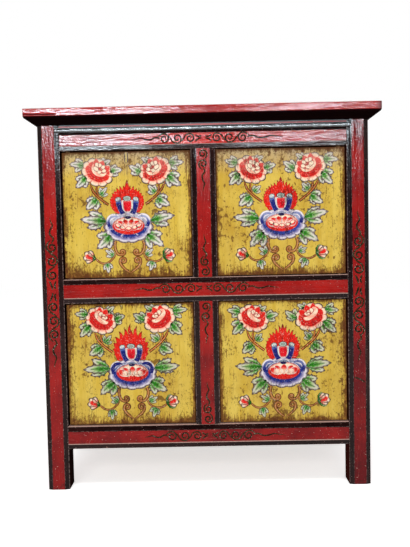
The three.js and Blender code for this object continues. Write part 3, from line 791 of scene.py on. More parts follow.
STEM_BROWN = srgb(146, 84, 38)
STEM_ORANGE = srgb(212, 126, 58)
STEM_PALE = srgb(196, 142, 84)
STEM_DARK = srgb(66, 24, 20)
SCROLL_LINE = srgb(26, 20, 8)
SCROLL_WORN = srgb(50, 36, 16)
RING_TEAL = srgb(34, 60, 86)
# How deep in mm the edge of a motif is sunk into its ground
SINK = 0.06


def ramp(colours, part):
    """One colour out of several that follow one another evenly from 0 to 1."""
    spot = min(0.9999, max(0.0, part)) * (len(colours) - 1)
    step = int(spot)
    return blend(colours[step], colours[step + 1], spot - step)


def eased(low, high, value):
    """A soft step from 0 at the low end to 1 at the high one."""
    part = min(1.0, max(0.0, (value - low) / (high - low)))
    return part * part * (3.0 - 2.0 * part)


def wave(value):
    """Swings between 0 and 1 as the value grows."""
    return 0.5 + 0.5 * math.sin(value)


def even(angle):
    """The edge of a plain oval."""
    return 1.0


def turned(across, up, angle):
    """A place turned round the middle."""
    return (
        across * math.cos(angle) - up * math.sin(angle),
        across * math.sin(angle) + up * math.cos(angle),
    )


def between(p, q, r, s, t):
    """The place at t from 0 to 1 between q and r, on a line that comes from p and goes on to s."""
    square = (2 * p - 5 * q + 4 * r - s) * t ** 2
    cube = (3 * q - p - 3 * r + s) * t ** 3
    return 0.5 * (2 * q + (r - p) * t + square + cube)


def smooth_path(points, steps):
    """A flowing line through the given points, with a number of steps between two of them."""
    padded = [points[0], *points, points[-1]]
    path = []
    for four in zip(padded, padded[1:], padded[2:], padded[3:]):
        for step in range(steps):
            path.append(tuple(between(*places, step / steps) for places in zip(*four)))
    return [*path, tuple(points[-1])]


PAINT_MERGE = 0.004 * MM
BLUNT_END = 0.12
PINHOLE = 0.0005
TOOTH_DEPTH = 0.34
TOOTH_LEAN = 0.12
RIDGE_HEIGHT = 0.25


class Face:
    """A flat painted face: its middle, the body that carries it and a painter's hand of its own."""

    def __init__(self, name, body, middle, seed):
        self.name = name
        self.body = body
        self.middle = Vector(middle)
        self.hand = random.Random(seed)
        self.sheets = []

    def shaky(self, amount):
        return self.hand.uniform(-amount, amount)

    def sheet(self, columns, rows, place, tint):
        """A grid shaped into raised gesso. place gives mm across, up and out, tint gives the colour."""
        bpy.ops.object.select_all(action="DESELECT")
        bpy.ops.mesh.primitive_grid_add(x_subdivisions=columns, y_subdivisions=rows, size=2.0)
        piece = bpy.context.object
        mesh = piece.data
        pigment = mesh.color_attributes.new("pigment", "FLOAT_COLOR", "POINT")
        for vertex in mesh.vertices:
            along, across = vertex.co.x, vertex.co.y
            pigment.data[vertex.index].color = (*tint(along, across), 1.0)
            x, z, out = place(along, across)
            vertex.co = self.middle + Vector((x, -out, z)) * MM
        mesh.update()
        if sum(face.normal.y * face.area for face in mesh.polygons) > 0.0:
            mesh.flip_normals()
        self.sheets.append(piece)

    def finish(self, material, slot):
        pick(*self.sheets)
        bpy.ops.object.join()
        whole = bpy.context.object
        whole.name = self.name
        whole.data.name = self.name
        open_mesh(whole)
        bpy.ops.mesh.remove_doubles(threshold=PAINT_MERGE)
        close_mesh()
        bpy.ops.object.shade_smooth()
        coat(whole, material)
        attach(whole, self.body)
        return whole

    def stroke(self, points, width, tint, rise, tapers=(0.25, 0.25), steps=6, rows=8):
        """One pull of the brush along a path, thinner at its ends."""
        path = smooth_path(points, steps)
        last = len(path) - 1

        def place(along, across):
            spot = round((along + 1.0) / 2.0 * last)
            before, after = path[max(spot - 1, 0)], path[min(spot + 1, last)]
            run_x, run_z = after[0] - before[0], after[1] - before[1]
            length = math.hypot(run_x, run_z) or 1.0
            part = spot / last
            start = min(1.0, part / tapers[0]) if tapers[0] else 1.0
            end = min(1.0, (1.0 - part) / tapers[1]) if tapers[1] else 1.0
            half = width / 2.0 * max(BLUNT_END, math.sqrt(min(start, end)))
            x = path[spot][0] - run_z / length * across * half
            z = path[spot][1] + run_x / length * across * half
            return x, z, rise * (1.0 - across ** 4) - SINK

        self.sheet(last, rows, place, lambda along, across: tint((along + 1.0) / 2.0, across))

    def disc(self, centre, radii, tilt, edge, tint, rise, sides=48, rings=6):
        """A round patch with an edge of its own: edge gives the reach at an angle."""
        turn = math.radians(tilt)

        def place(along, radial):
            angle = math.pi * along
            part = PINHOLE + (1.0 - PINHOLE) * math.sin((radial + 1.0) / 2.0 * math.pi / 2.0)
            reach = part * (1.0 + (edge(angle) - 1.0) * part ** 2)
            x0, z0 = radii[0] * reach * math.cos(angle), radii[1] * reach * math.sin(angle)
            x = centre[0] + x0 * math.cos(turn) - z0 * math.sin(turn)
            z = centre[1] + x0 * math.sin(turn) + z0 * math.cos(turn)
            return x, z, (rise + SINK) * (1.0 - eased(0.95, 1.0, part)) - SINK

        def colour(along, radial):
            return tint(math.pi * along, math.sin((radial + 1.0) / 2.0 * math.pi / 2.0))

        self.sheet(sides, rings, place, colour)

    def blade(self, base, tip, half_width, swell, tint, rise, bend=0.0, teeth=0, columns=12, rows=8):
        """A petal, leaf or tongue of flame from its base to its tip. swell gives the width along it."""
        run = Vector((tip[0] - base[0], tip[1] - base[1]))
        side = Vector((-run.y, run.x)).normalized()

        def place(along, across):
            part = (along + 1.0) / 2.0
            reach = math.sin(across * math.pi / 2.0)
            tooth = 1.0 - TOOTH_DEPTH * abs(math.sin(math.pi * teeth * part)) if teeth else 1.0
            half = half_width * swell(part) * (1.0 + (tooth - 1.0) * abs(reach) ** 2)
            lean = TOOTH_LEAN * run.length * abs(reach) * swell(part) if teeth else 0.0
            spine = Vector(base) + run * part + side * bend * math.sin(math.pi * part)
            spot = spine + side * half * reach + run.normalized() * lean
            ridge = 1.0 + RIDGE_HEIGHT * eased(0.6, 0.85, abs(reach))
            out = (rise * ridge + SINK) * (1.0 - eased(0.94, 1.0, abs(reach))) - SINK
            return spot.x, spot.y, out

        def colour(along, across):
            return tint((along + 1.0) / 2.0, math.sin(across * math.pi / 2.0))

        self.sheet(columns, rows, place, colour)


def leaf_swell(part):
    return max(0.02, math.sin(math.pi * min(1.0, part * 0.97 + 0.03) ** 0.7)) ** 0.8


def petal_swell(part):
    return max(0.03, math.sin(math.pi * min(1.0, part * 0.93 + 0.07) ** 1.5)) ** 0.6


def tongue_swell(part):
    return (1.0 - part) ** 0.9 * (0.75 + 0.6 * part) + 0.02


def leaf_tint(green, line, wide, pale):
    """Green at the stalk, white toward the tip and the edge, with a dark outline as wide on every leaf."""
    inner = max(0.54, 0.93 - 5.4 / wide)
    edge = blend(LEAF_WHITE, LOTUS_WHITE, pale)
    soft = blend(LEAF_PALE, edge, pale * 0.6)

    def tint(part, reach):
        ripple = 0.05 * math.sin(19.0 * reach + 5.0 * part)
        far = (part * 1.15 + 0.3 * reach * reach + ripple) / (0.55 + 0.4 * green)
        colour = ramp((LEAF_DEEP, LEAF_GREEN, LEAF_GREEN, LEAF_MINT, soft, soft), far)
        flecks = 0.55 + 0.45 * math.sin(37.0 * part + 21.0 * abs(reach))
        colour = blend(colour, edge, eased(inner - 0.25, inner - 0.05, abs(reach)) * flecks)
        if abs(reach) < 0.1 and part < 0.75:
            colour = blend(colour, LEAF_DEEP, 0.75)
        broken = 0.8 + 0.2 * math.sin(43.0 * part + 9.0 * reach)
        rim = max(eased(inner, inner + 0.1, abs(reach)), eased(0.86, 0.92, part))
        return blend(colour, line, rim * broken)
    return tint


def leaf(face, base, tip, half_width, green, spread=38.0, side_part=0.72):
    """A leaf of three blades that leave one stalk."""
    base, tip = Vector(base), Vector(tip)
    tip = tip + Vector((face.shaky(2.0), face.shaky(2.0)))
    run = tip - base
    for turn, length, width in ((spread, side_part, 0.78), (-spread, side_part, 0.78), (0.0, 1.0, 0.82)):
        lean = Vector(turned(run.x, run.y, math.radians(turn + face.shaky(5.0))))
        start = base + run * 0.04 if turn else base
        rise = 0.34 if turn else 0.42
        tint = leaf_tint(green * face.green, face.line, half_width * width, face.pale)
        bend = face.shaky(0.5) * half_width * 0.25
        face.blade(start, start + lean * length, half_width * width, leaf_swell, tint, rise, bend, 4, 20, 14)


def leaves(face, rows, **ways):
    for row in rows:
        leaf(face, *row, **ways)


# The heart of a peony in parts of the flower's size: the comma's line, then each petal's base, tip and width
OPEN_HEART = dict(
    comma=((-0.42, 0.34), (-0.34, 0.06), (0.0, -0.1), (0.36, 0.0), (0.48, 0.22)),
    width=0.26, rise=1.0, ends=(0.35, 0.35), rows=10,
    petals=(
        ((0.08, 0.1), (-0.34, 0.2), 0.15),
        ((0.2, 0.14), (0.4, 0.34), 0.13),
        ((-0.12, 0.24), (-0.3, 0.5), 0.14),
        ((0.1, 0.26), (0.22, 0.54), 0.13),
        ((-0.04, 0.3), (-0.06, 0.56), 0.13),
        ((0.2, 0.16), (0.0, 0.0), 0.14),
    ),
)
CURLED_HEART = dict(
    comma=((-0.28, 0.5), (-0.42, 0.32), (-0.3, 0.12), (0.02, 0.0), (0.32, 0.02), (0.42, 0.14)),
    width=0.31, rise=1.1, ends=(0.3, 0.3), rows=12,
    petals=(
        ((-0.12, 0.2), (-0.2, 0.48), 0.15),
        ((0.05, 0.16), (0.02, 0.44), 0.14),
        ((-0.05, 0.16), (0.3, 0.34), 0.13),
    ),
)
LAPPETS = (
    ((-0.2, 0.2), (-0.42, 0.72)),
    ((0.04, 0.3), (0.02, 0.78)),
    ((0.28, 0.24), (0.5, 0.64)),
)


def peony(face, centre, size, tilt, facing):
    """A full flower: pale scalloped skirt, red ring of petals and a cream heart that swirls."""
    x, z = centre
    phase = face.hand.uniform(0.0, math.pi)
    turn = math.radians(tilt)

    def spot(across, up):
        """Places given along the flower's own tilted axes, facing left or right."""
        out, high = turned(across * facing, up, turn)
        return (x + out * size, z + high * size)

    def skirt_edge(angle):
        return 0.87 + 0.13 * abs(math.sin(5.0 * angle + phase)) ** 0.6 + 0.02 * abs(math.sin(25.0 * angle))

    def skirt_tint(angle, part):
        fold = abs(math.sin(5.0 * angle + phase))
        colour = ramp((PETAL_RED, PETAL_PINK, PETAL_CREAM, PETAL_CREAM, PETAL_CREAM), (part - 0.58) / 0.4)
        colour = blend(colour, PETAL_PINK, wave(41.0 * angle) * 0.35 * eased(0.95, 0.75, part))
        colour = blend(colour, PETAL_RED, eased(0.3, 0.05, fold) * 0.8 * eased(0.6, 0.8, part))
        return blend(colour, face.line, eased(0.88, 0.93, part))

    def ring_edge(angle):
        return 0.88 + 0.13 * abs(math.sin(3.5 * angle + phase)) ** 0.7

    def ring_tint(angle, part):
        streak = wave(17.0 * angle + 3.0 * math.sin(5.0 * angle))
        colour = blend(PETAL_RED, PETAL_DEEP, 0.6 * streak * eased(0.95, 0.5, part))
        gap = eased(0.2, 0.04, abs(math.sin(3.5 * angle + phase))) * eased(0.55, 0.8, part)
        colour = blend(colour, PETAL_PINK if face.pale > 0.5 else PETAL_DEEP, gap * 0.8)
        return blend(colour, PETAL_PINK, eased(0.9, 1.0, part) * 0.5 + face.pale * 0.06)

    def fold_tint(part, across):
        return blend(PETAL_DEEP, PETAL_RED, eased(0.3, 0.95, abs(across)))

    def heart_tint(part, reach):
        colour = ramp((PETAL_PINK, PETAL_CREAM, PETAL_CREAM, PETAL_CREAM), part)
        edge = blend(PETAL_DEEP, face.line, face.pale * 0.7)
        return blend(colour, edge, max(eased(0.72, 0.88, abs(reach)), eased(0.93, 0.98, part)))

    def swirl_tint(part, across):
        colour = blend(PETAL_CREAM, PETAL_PINK, wave(14.0 * part + 2.0 * across))
        return blend(colour, PETAL_DEEP, eased(0.76, 0.95, abs(across)))

    def lappet_tint(part, reach):
        colour = blend(PETAL_RED, PETAL_DEEP, eased(0.35, 0.0, part) * 0.6)
        return blend(colour, PETAL_PINK, max(eased(0.78, 0.95, abs(reach)), eased(0.9, 1.0, part)) * 0.8)

    face.disc(centre, (size * 1.02, size * 0.84), tilt, skirt_edge, skirt_tint, 0.42, sides=110, rings=10)
    face.disc(spot(0.0, 0.03), (size * 0.8, size * 0.61), tilt, ring_edge, ring_tint, 0.58, sides=80, rings=8)
    for low in (0.5, 0.37):
        arc = [spot(low * 1.29 * math.cos(a), low * math.sin(a) * 0.9 - 0.02)
               for a in (math.pi * (1.08 + 0.105 * k) for k in range(9))]
        face.stroke(arc, size * 0.06, fold_tint, 0.72, (0.3, 0.3), steps=4)
    heart = OPEN_HEART if face.pale > 0.5 else CURLED_HEART
    comma = [spot(*place) for place in heart["comma"]]
    face.stroke(comma, size * heart["width"], swirl_tint, heart["rise"], heart["ends"], 5, heart["rows"])
    for index, (base, end, wide) in enumerate(heart["petals"]):
        rise = 1.05 + 0.02 * index
        face.blade(spot(*base), spot(*end), wide * size, petal_swell, heart_tint, rise, rows=10)
    curl = [spot(0.08 + 0.13 * math.cos(0.6 * k), 0.24 + 0.09 * math.sin(0.6 * k)) for k in range(9)]
    face.stroke(curl, size * 0.055, fold_tint, 1.4, (0.3, 0.3), steps=3)
    for base, end in LAPPETS:
        face.blade(spot(*base), spot(*end), size * 0.22, leaf_swell, lappet_tint, 0.7)


def stem_tint(pale):
    """Orange stalks between dark lines, browner where the door is paler."""
    middle = blend(STEM_ORANGE, STEM_BROWN, pale * 0.6)
    return lambda part, across: ramp((STEM_DARK, STEM_DARK, STEM_DARK, middle, middle), 1.0 - abs(across))


# Each stalk from leaf to flower: its line, its width, how far it stands out and how far its ends are thinned
STALKS = (
    (((-84, 75), (-78, 58), (-65, 43), (-43, 26)), 7.0, 0.34, (0.3, 0.0)),
    (((-68, 72), (-70, 60), (-65, 46)), 5.5, 0.32, (0.3, 0.3)),
    (((90, 80), (81, 61), (65, 43), (43, 26)), 7.0, 0.34, (0.3, 0.0)),
    (((73, 75), (75, 64), (70, 52)), 5.5, 0.32, (0.3, 0.3)),
)
FIRE_MIDDLE = (0.0, 31.0)
FIRE_ROOTS = 36.5
FIRE_HALF_WIDTH = 39.5
FIRST_TONGUE = -38.0
TONGUE_SWEEP = 256.0


def stems(face):
    tint = stem_tint(face.pale)
    for line, width, rise, ends in STALKS:
        face.stroke(line, width, tint, rise, ends)


def flame(face):
    """A glory of fire behind the jewels: a round body with a fringe of licking tongues."""
    licks, length, wide = face.licks

    def body_tint(angle, part):
        return blend(FLAME_RED, PETAL_DEEP, 0.35 * wave(11.0 * angle + 4.0 * part) * part)

    def body_edge(angle):
        return 1.0 + 0.03 * math.sin(23.0 * angle)

    def tongue_tint(part, reach):
        colour = blend(FLAME_RED, FLAME_TIP, eased(0.45, 0.95, part))
        return blend(colour, FLAME_TIP, eased(0.75, 0.95, abs(reach)) * 0.5)

    across, up = FIRE_MIDDLE
    for index in range(licks):
        share = index / (licks - 1)
        angle = math.radians(FIRST_TONGUE + TONGUE_SWEEP * share)
        root = (across + FIRE_ROOTS * math.cos(angle), up + (face.glow - 3.0) * math.sin(angle))
        reach = length * face.hand.uniform(0.75, 1.25) * (1.25 - 0.6 * abs(math.cos(angle)))
        lean_x, lean_z = math.cos(angle) * 0.8, math.sin(angle) + 0.55
        tip = (root[0] + lean_x * reach, root[1] + lean_z * reach)
        bend = reach * 0.16 * (1.0 if math.cos(angle) > 0.0 else -1.0)
        face.blade(root, tip, wide, tongue_swell, tongue_tint, 0.26, bend, columns=8, rows=6)
    crest = up + face.glow - 11.0
    tip = (face.shaky(1.0), crest + face.spike)
    face.blade((0.0, crest), tip, 8.5, tongue_swell, tongue_tint, 0.27, columns=10, rows=6)
    face.disc(FIRE_MIDDLE, (FIRE_HALF_WIDTH, face.glow), 0.0, body_edge, body_tint, 0.3, sides=72, rings=6)


def jewels(face):
    """Three jewels standing in the flower: two of blue with white heads about a red one with a dark cap."""
    def blue(part, across):
        colour = blend(JEWEL_WHITE, JEWEL_BLUE_LIGHT, eased(0.24, 0.36, part))
        colour = blend(colour, JEWEL_BLUE, eased(0.34, 0.44, part))
        line = LOTUS_LILAC if part > 0.34 else face.line
        return blend(colour, line, eased(0.66, 0.82, abs(across)) * 0.75)

    def shield(part):
        return 1.0 if part < 0.3 else max(0.05, 1.0 - ((part - 0.3) / 0.7) ** 2.4) ** 0.5

    def red(part, across):
        colour = ramp((PETAL_PINK, JEWEL_RED, JEWEL_RED, JEWEL_RED, JEWEL_RED, PETAL_DEEP), part)
        rim = max(eased(0.68, 0.8, abs(across)), eased(0.88, 0.94, part), eased(0.07, 0.02, part))
        return blend(colour, JEWEL_WHITE, rim)

    def cap(angle, part):
        colour = blend(JEWEL_GREY, JEWEL_WHITE, wave(5.0 * angle + 9.0 * part) * 0.6)
        colour = blend(colour, JEWEL_WHITE, eased(0.52, 0.62, part) * 0.8)
        return blend(colour, face.line, eased(0.76, 0.86, part))

    def head(angle, part):
        low = eased(0.1, -0.9, math.sin(angle)) * eased(0.0, 0.8, part)
        colour = blend(JEWEL_WHITE, JEWEL_BLUE_LIGHT, low * 0.8)
        colour = blend(colour, JEWEL_GREY, wave(2.0 * angle + 8.0 * part) * 0.35)
        return blend(colour, face.line, eased(0.74, 0.86, part) * (0.8 + 0.2 * math.sin(7.0 * angle)))

    left_body = ((-20.5, 40), (-20.0, 32), (-16.5, 19), (-10.0, 5))
    right_body = ((20.5, 40), (20.5, 32), (18.0, 19), (12.0, 5))
    face.stroke(left_body, 14.5, blue, 0.9, (0.3, 0.0), rows=12)
    face.stroke(right_body, 15.5, blue, 0.9, (0.3, 0.0), rows=12)
    face.blade((0.3, 36.0), (0.8, 7.0), 13.5, shield, red, 1.15, rows=14)
    for side in (-1, 1):
        face.disc((side * 20.5, 38.0), (7.4, 6.4), side * -16.0, even, head, 1.05, sides=28, rings=8)
    face.disc((0.0, 40.0), (10.4, 6.6), 0.0, even, cap, 1.3, sides=36, rings=8)


LOTUS_MIDDLE = (2.0, -26.0)
# The right one of two like strokes, from the middle of its motif: a petal that hooks inward and a pale wing
HOOK = ((43, 2), (46, 13), (40, 23), (28, 25), (19, 19))
WING = ((14, 13), (24, 11), (33, 4), (40, -4))


def mirrored(middle, side, places):
    """Places on one side of a motif's middle."""
    return [(middle[0] + side * out, middle[1] + up) for out, up in places]


def lotus(face):
    """The flower that carries the jewels: pale skirt, blue ring and an inner bowl of red and cream petals."""
    x, z = LOTUS_MIDDLE
    phase = face.hand.uniform(0.0, math.pi)

    def skirt_edge(angle):
        return 0.91 + 0.1 * abs(math.sin(7.0 * angle + phase)) ** 0.5

    def skirt_tint(angle, part):
        colour = ramp((JEWEL_BLUE, LOTUS_LILAC, LOTUS_WHITE, LOTUS_WHITE), (part - 0.74) / 0.1)
        fold = abs(math.sin(7.0 * angle + phase))
        colour = blend(colour, LOTUS_LILAC, eased(0.4, 0.1, fold) * (0.4 + 0.4 * face.pale))
        colour = blend(colour, face.line, eased(0.14, 0.03, fold) * 0.6 * eased(0.8, 0.9, part))
        return blend(colour, face.line, eased(0.87, 0.91, part) * (0.75 + 0.2 * math.sin(61.0 * angle)))

    def top_edge(angle):
        return 0.97 + 0.04 * abs(math.sin(3 * angle))

    face.disc((x, z + 25.0), (17.0, 11.0), 0.0, top_edge, skirt_tint, 0.5, sides=40)
    face.disc((x, z), (59.0, 38.0), 0.0, skirt_edge, skirt_tint, 0.42, sides=112, rings=9)

    def ring_edge(angle):
        return 0.97 + face.ring_lobes * abs(math.sin(3.5 * angle + 0.5)) ** 0.6

    def ring_tint(angle, part):
        shade = eased(0.1 - face.pale * 0.6, 0.9 - face.pale * 0.5, math.sin(angle))
        colour = blend(JEWEL_BLUE, RING_TEAL, shade)
        colour = blend(colour, JEWEL_BLUE_LIGHT, eased(0.84, 0.97, part) * 0.7 + face.ring_light * 0.4)
        if face.ring_lobes > 0.04:
            gap = abs(math.sin(3.5 * angle + 0.5))
            colour = blend(colour, LOTUS_WHITE, eased(0.22, 0.06, gap) * 0.85)
        return blend(colour, LOTUS_WHITE, shade * (0.35 + 0.35 * face.pale))

    face.disc((x - 1.0, z + 3.0), (48.5, 28.5), 0.0, ring_edge, ring_tint, 0.56, sides=96, rings=7)

    def hook_tint(part, across):
        light = blend(JEWEL_BLUE_LIGHT, LOTUS_WHITE, 0.6)
        blue = blend(JEWEL_BLUE, light, eased(0.1, 0.5, part) * (1.0 - face.hook_blue))
        inner = 0.22 + 0.28 * face.hook_blue
        colour = blend(blue, LOTUS_WHITE, eased(inner, inner + 0.12, abs(across)) * eased(0.15, 0.35, part))
        return blend(colour, face.line, eased(0.84, 0.91, abs(across)) * eased(0.25, 0.4, part) * 0.9)

    for side in (-1, 1):
        face.stroke(mirrored((x, z), side, HOOK), 14.0, hook_tint, 0.64, (0.0, 0.35), steps=5, rows=12)
    crown(face, x - 1.0, z + 10.5)
    bowl(face, x, z + 3.0)


def crown(face, x, z):
    """The small dark eye between the jewels and the bowl."""
    def white(part, across):
        tone = blend(LOTUS_WHITE, LOTUS_LILAC, 0.4 + 0.4 * math.sin(17.0 * part))
        return blend(tone, face.line, eased(0.5, 0.85, abs(across)) * 0.8)

    turns = [math.pi * k / 8 for k in range(9)]
    arch = [(x + 14.0 * math.cos(turn), z + 11.0 + 9.5 * math.sin(turn)) for turn in turns]
    face.stroke(arch, 5.6, white, 0.95, (0.25, 0.25), steps=3, rows=6)
    for side in (-1, 1):
        face.stroke(mirrored((x, z), side, WING), 3.4, white, 0.66, (0.25, 0.5))
    eye = blend(JEWEL_BLUE, LINE_MAROON, 0.45)
    face.disc((x, z + 11.5), (8.0, 3.8), 0.0, even, lambda angle, part: eye, 0.72, sides=24, rings=4)


# How far the petals of the bowl lean, in degrees, where they are painted apart or close together
APART_FAN = (-74, -44, -15, 15, 44, 74)
CLOSE_FAN = (-66, -36, 0, 36, 66)
ROUND_PETALS = ((-25, 0), (25, 0), (-14, -5), (14, -5), (0, -7))


def bowl(face, x, z):
    """The inner bowl: a red crescent below, small petals of red and cream above."""
    def crescent(angle, part):
        low = max(eased(0.3, 0.0, math.sin(angle) * part), eased(0.8, 0.95, part) * 0.7)
        colour = blend(PETAL_CREAM, PETAL_RED, low)
        colour = blend(colour, PETAL_DEEP, eased(0.84, 0.93, part) * low * 0.5)
        return blend(colour, LOTUS_WHITE, eased(0.93, 0.98, part))

    def petal(part, reach):
        colour = ramp((PETAL_RED, PETAL_RED, PETAL_PINK, PETAL_CREAM, PETAL_CREAM), 1.0 - part)
        return blend(colour, LOTUS_WHITE, eased(0.74, 0.93, abs(reach)) * 0.9)

    def round_petal(angle, part):
        colour = blend(PETAL_CREAM, PETAL_RED, eased(0.1, -0.5, math.sin(angle)) * eased(0.2, 0.5, part))
        colour = blend(colour, PETAL_RED, eased(0.62, 0.74, part))
        return blend(colour, LOTUS_WHITE, eased(0.8, 0.9, part))

    def cream(part, reach):
        colour = blend(PETAL_CREAM, PETAL_PINK, eased(0.3, 0.9, part) * 0.5)
        return blend(colour, PETAL_RED, eased(0.76, 0.96, abs(reach)) * 0.6)

    face.disc((x, z), (39.5, 21.5), 0.0, even, crescent, 0.7, sides=72, rings=9)
    fan = APART_FAN if face.separate_petals else CLOSE_FAN
    for lean in sorted(fan, key=lambda lean: -abs(lean)):
        angle = math.radians(90.0 - lean)
        reach_x, reach_z = 34.0 * math.cos(angle), 15.0 * math.sin(angle)
        base = (x + reach_x * 0.35, z - 8.0)
        tip = (x + reach_x, z + reach_z)
        face.blade(base, tip, 8.5, petal_swell, petal, 0.82, face.shaky(0.6), rows=8)
    if face.separate_petals:
        for out, up in ROUND_PETALS:
            face.disc((x + out, z + up), (8.4, 6.6), out * 1.2, even, round_petal, 1.0, sides=28, rings=8)
        return
    for lean in (-1.5, -0.5, 0.5, 1.5):
        base = (x + lean * 9.0, z + 4.0)
        tip = (x + lean * 14.0, z - 8.0 + abs(lean) * 2.0)
        face.blade(base, tip, 7.0, petal_swell, cream, 0.9, rows=8)


BUD_LEAN = math.radians(18.0)
# Where the tip of each pale petal of a bud lies, out and up, in parts of the bud's size
BUD_PETALS = ((0.35, -0.75), (0.35, 0.75), (0.85, -0.35), (0.85, 0.38))


def bud(face, centre, facing, size):
    """A half open bud: round pale petals about a red heart, with green sepals toward the stalk."""
    x, z = centre

    def sepal(part, reach):
        green = blend(LEAF_DEEP, LEAF_MINT, eased(0.3, 0.9, part))
        return blend(green, LINE_MAROON, eased(0.6, 0.85, abs(reach)))

    def petal(part, reach):
        colour = ramp((PETAL_RED, PETAL_PINK, PETAL_CREAM, PETAL_CREAM), part)
        return blend(colour, face.line, max(eased(0.62, 0.78, abs(reach)), eased(0.82, 0.9, part)))

    def heart(part, reach):
        colour = ramp((PETAL_DEEP, PETAL_RED, PETAL_RED, PETAL_RED, PETAL_PINK), part)
        return blend(colour, PETAL_CREAM, eased(0.7, 0.92, abs(reach)) * 0.7)

    def spot(out, up):
        across, high = turned(out, up, BUD_LEAN)
        return (x + facing * across * size, z + high * size)

    def sepal_blade(base, tip, rise, bend):
        face.blade(spot(*base), spot(*tip), size * 0.3, leaf_swell, sepal, rise, bend, 3, 14, 8)

    for up in (-1.0, 1.0):
        sepal_blade((-0.9, 0.0), (0.1, up * 1.05), 0.36, up * 2.5)
    sepal_blade((-0.95, 0.0), (-0.15, 0.3), 0.6, 0.0)
    for out, up in BUD_PETALS:
        face.blade(spot(-0.55, up * 0.3), spot(out, up), size * 0.42, petal_swell, petal, 0.42)
    face.blade(spot(-0.6, 0.0), spot(0.62, 0.02), size * 0.38, petal_swell, heart, 0.55)
    face.blade(spot(-0.5, 0.12), spot(0.35, 0.42), size * 0.2, petal_swell, petal, 0.6)


def spiral(centre, radius, start, turns, wind, inner=0.22, count=14):
    """Points that wind inward from a start angle in degrees."""
    points = []
    for step in range(count + 1):
        part = step / count
        angle = math.radians(start) + wind * part * turns * 2.0 * math.pi
        reach = radius * (1.0 + (inner - 1.0) * part)
        points.append((centre[0] + reach * math.cos(angle), centre[1] + reach * math.sin(angle)))
    return points


# The foot: each line with the spiral it ends in, then how far it stands out and how far its start is thinned
FOOT_LINES = (
    (((-29, -58), (-31, -68), (-29, -80), (-23, -89)), ((-14, -84), 6.5, 250.0, 1.15, 1.0), 0.34, 0.0),
    (((35, -58), (38, -68), (36, -80), (29, -89)), ((19, -84), 6.5, 290.0, 1.15, -1.0), 0.34, 0.0),
    (((4, -133), (-6, -126), (-15, -117), (-20, -108)), ((-12, -104), 7.2, 150.0, 1.05, -1.0), 0.36, 0.1),
    (((4, -133), (14, -126), (24, -117), (28, -108)), ((21, -104), 7.2, 30.0, 1.05, 1.0), 0.36, 0.1),
)
FOOT_LINE_WIDTH = 8.0
BUD_STALKS = (
    ((-28, -84), (-36, -98), (-50, -109), (-65, -108), (-77, -98)),
    ((34, -84), (41, -98), (54, -106), (69, -106), (82, -98)),
)
BUD_STALK_WIDTH = 5.8
BUD_SIZE = 17.0
# Leaves as painted, one after another: base, tip, half width and how green
FOOT_LEAVES = (
    ((-33, -93), (-54, -78), 8.0, 0.8),
    ((40, -92), (61, -80), 8.0, 0.8),
    ((-50, -109), (-44, -133), 10.0, 0.9),
    ((56, -106), (47, -131), 10.0, 0.9),
)
UPPER_LEAVES = (
    ((-69, 40), (-97, 18), 17.0, 1.1),
    ((69, 40), (99, 22), 17.0, 1.0),
    ((-62, 48), (-47, 66), 9.0, 1.2),
    ((66, 52), (47, 69), 11.0, 0.8),
    ((-98, 117), (-130, 120), 13.0, 0.9),
    ((-93, 92), (-120, 66), 16.0, 1.0),
    ((-58, 118), (-36, 132), 11.0, 0.6),
    ((-38, 103), (-9, 110), 14.0, 1.1),
    ((34, 99), (8, 118), 14.0, 1.0),
    ((56, 120), (34, 133), 11.0, 0.8),
    ((99, 121), (134, 121), 13.0, 0.9),
    ((95, 93), (124, 64), 17.0, 1.1),
)
SIDE_LEAVES = (
    ((-50, -12), (-112, -9), 18.0, 1.3),
    ((54, -12), (113, -6), 18.0, 1.3),
)
LOWER_LEAVES = (
    ((-40, -44), (-75, -76), 18.0, 1.2),
    ((44, -43), (85, -70), 18.0, 1.2),
)
# Peonies: middle across and up, size, tilt in degrees and which way they face
PEONIES = (
    (-68, 101, 39.0, -24.0, 1.0),
    (68, 102, 40.0, 25.0, -1.0),
)


def foot_scroll(face):
    """The scrolling foot under the flower, with its side stalks, buds and small leaves."""
    def double(part, across):
        pale = eased(0.42, 0.16, abs(across)) * (0.7 + 0.3 * math.sin(13.0 * part))
        tone = blend(STEM_BROWN, STEM_PALE, pale)
        return blend(tone, STEM_DARK, eased(0.5, 0.64, abs(across)))

    for line, curl, rise, start in FOOT_LINES:
        face.stroke([*line, *spiral(*curl)], FOOT_LINE_WIDTH, double, rise, (start, 0.2), 2)
    for stalk in BUD_STALKS:
        face.stroke(stalk, BUD_STALK_WIDTH, double, 0.32, (0.2, 0.1))
    leaves(face, FOOT_LEAVES)
    bud(face, (-91, -94), -1.0, BUD_SIZE)
    bud(face, (95, -92), 1.0, BUD_SIZE)


def drips(face):
    """Where lacquer ran down from the rail above: a loop on one door, a short blob on another."""
    def run_tint(part, across):
        return blend(OCHRE_PALE, LINE_MAROON, eased(0.25, 0.5, abs(across)))

    for across, start, length, width in face.drips:
        line = ((across, start), (across + 0.6, start - length / 2.0), (across, start - length))
        face.stroke(line, width, run_tint, 0.3, (0.1, 0.35), rows=8)


def bouquet(face):
    """The whole painting of one door."""
    drips(face)
    stems(face)
    leaves(face, UPPER_LEAVES)
    leaves(face, SIDE_LEAVES, spread=25.0, side_part=0.74)
    leaves(face, LOWER_LEAVES)
    for across, up, size, tilt, facing in PEONIES:
        peony(face, (across + face.shaky(1.5), up + face.shaky(1.5)), size, tilt + face.shaky(4.0), facing)
    foot_scroll(face)
    flame(face)
    lotus(face)
    jewels(face)


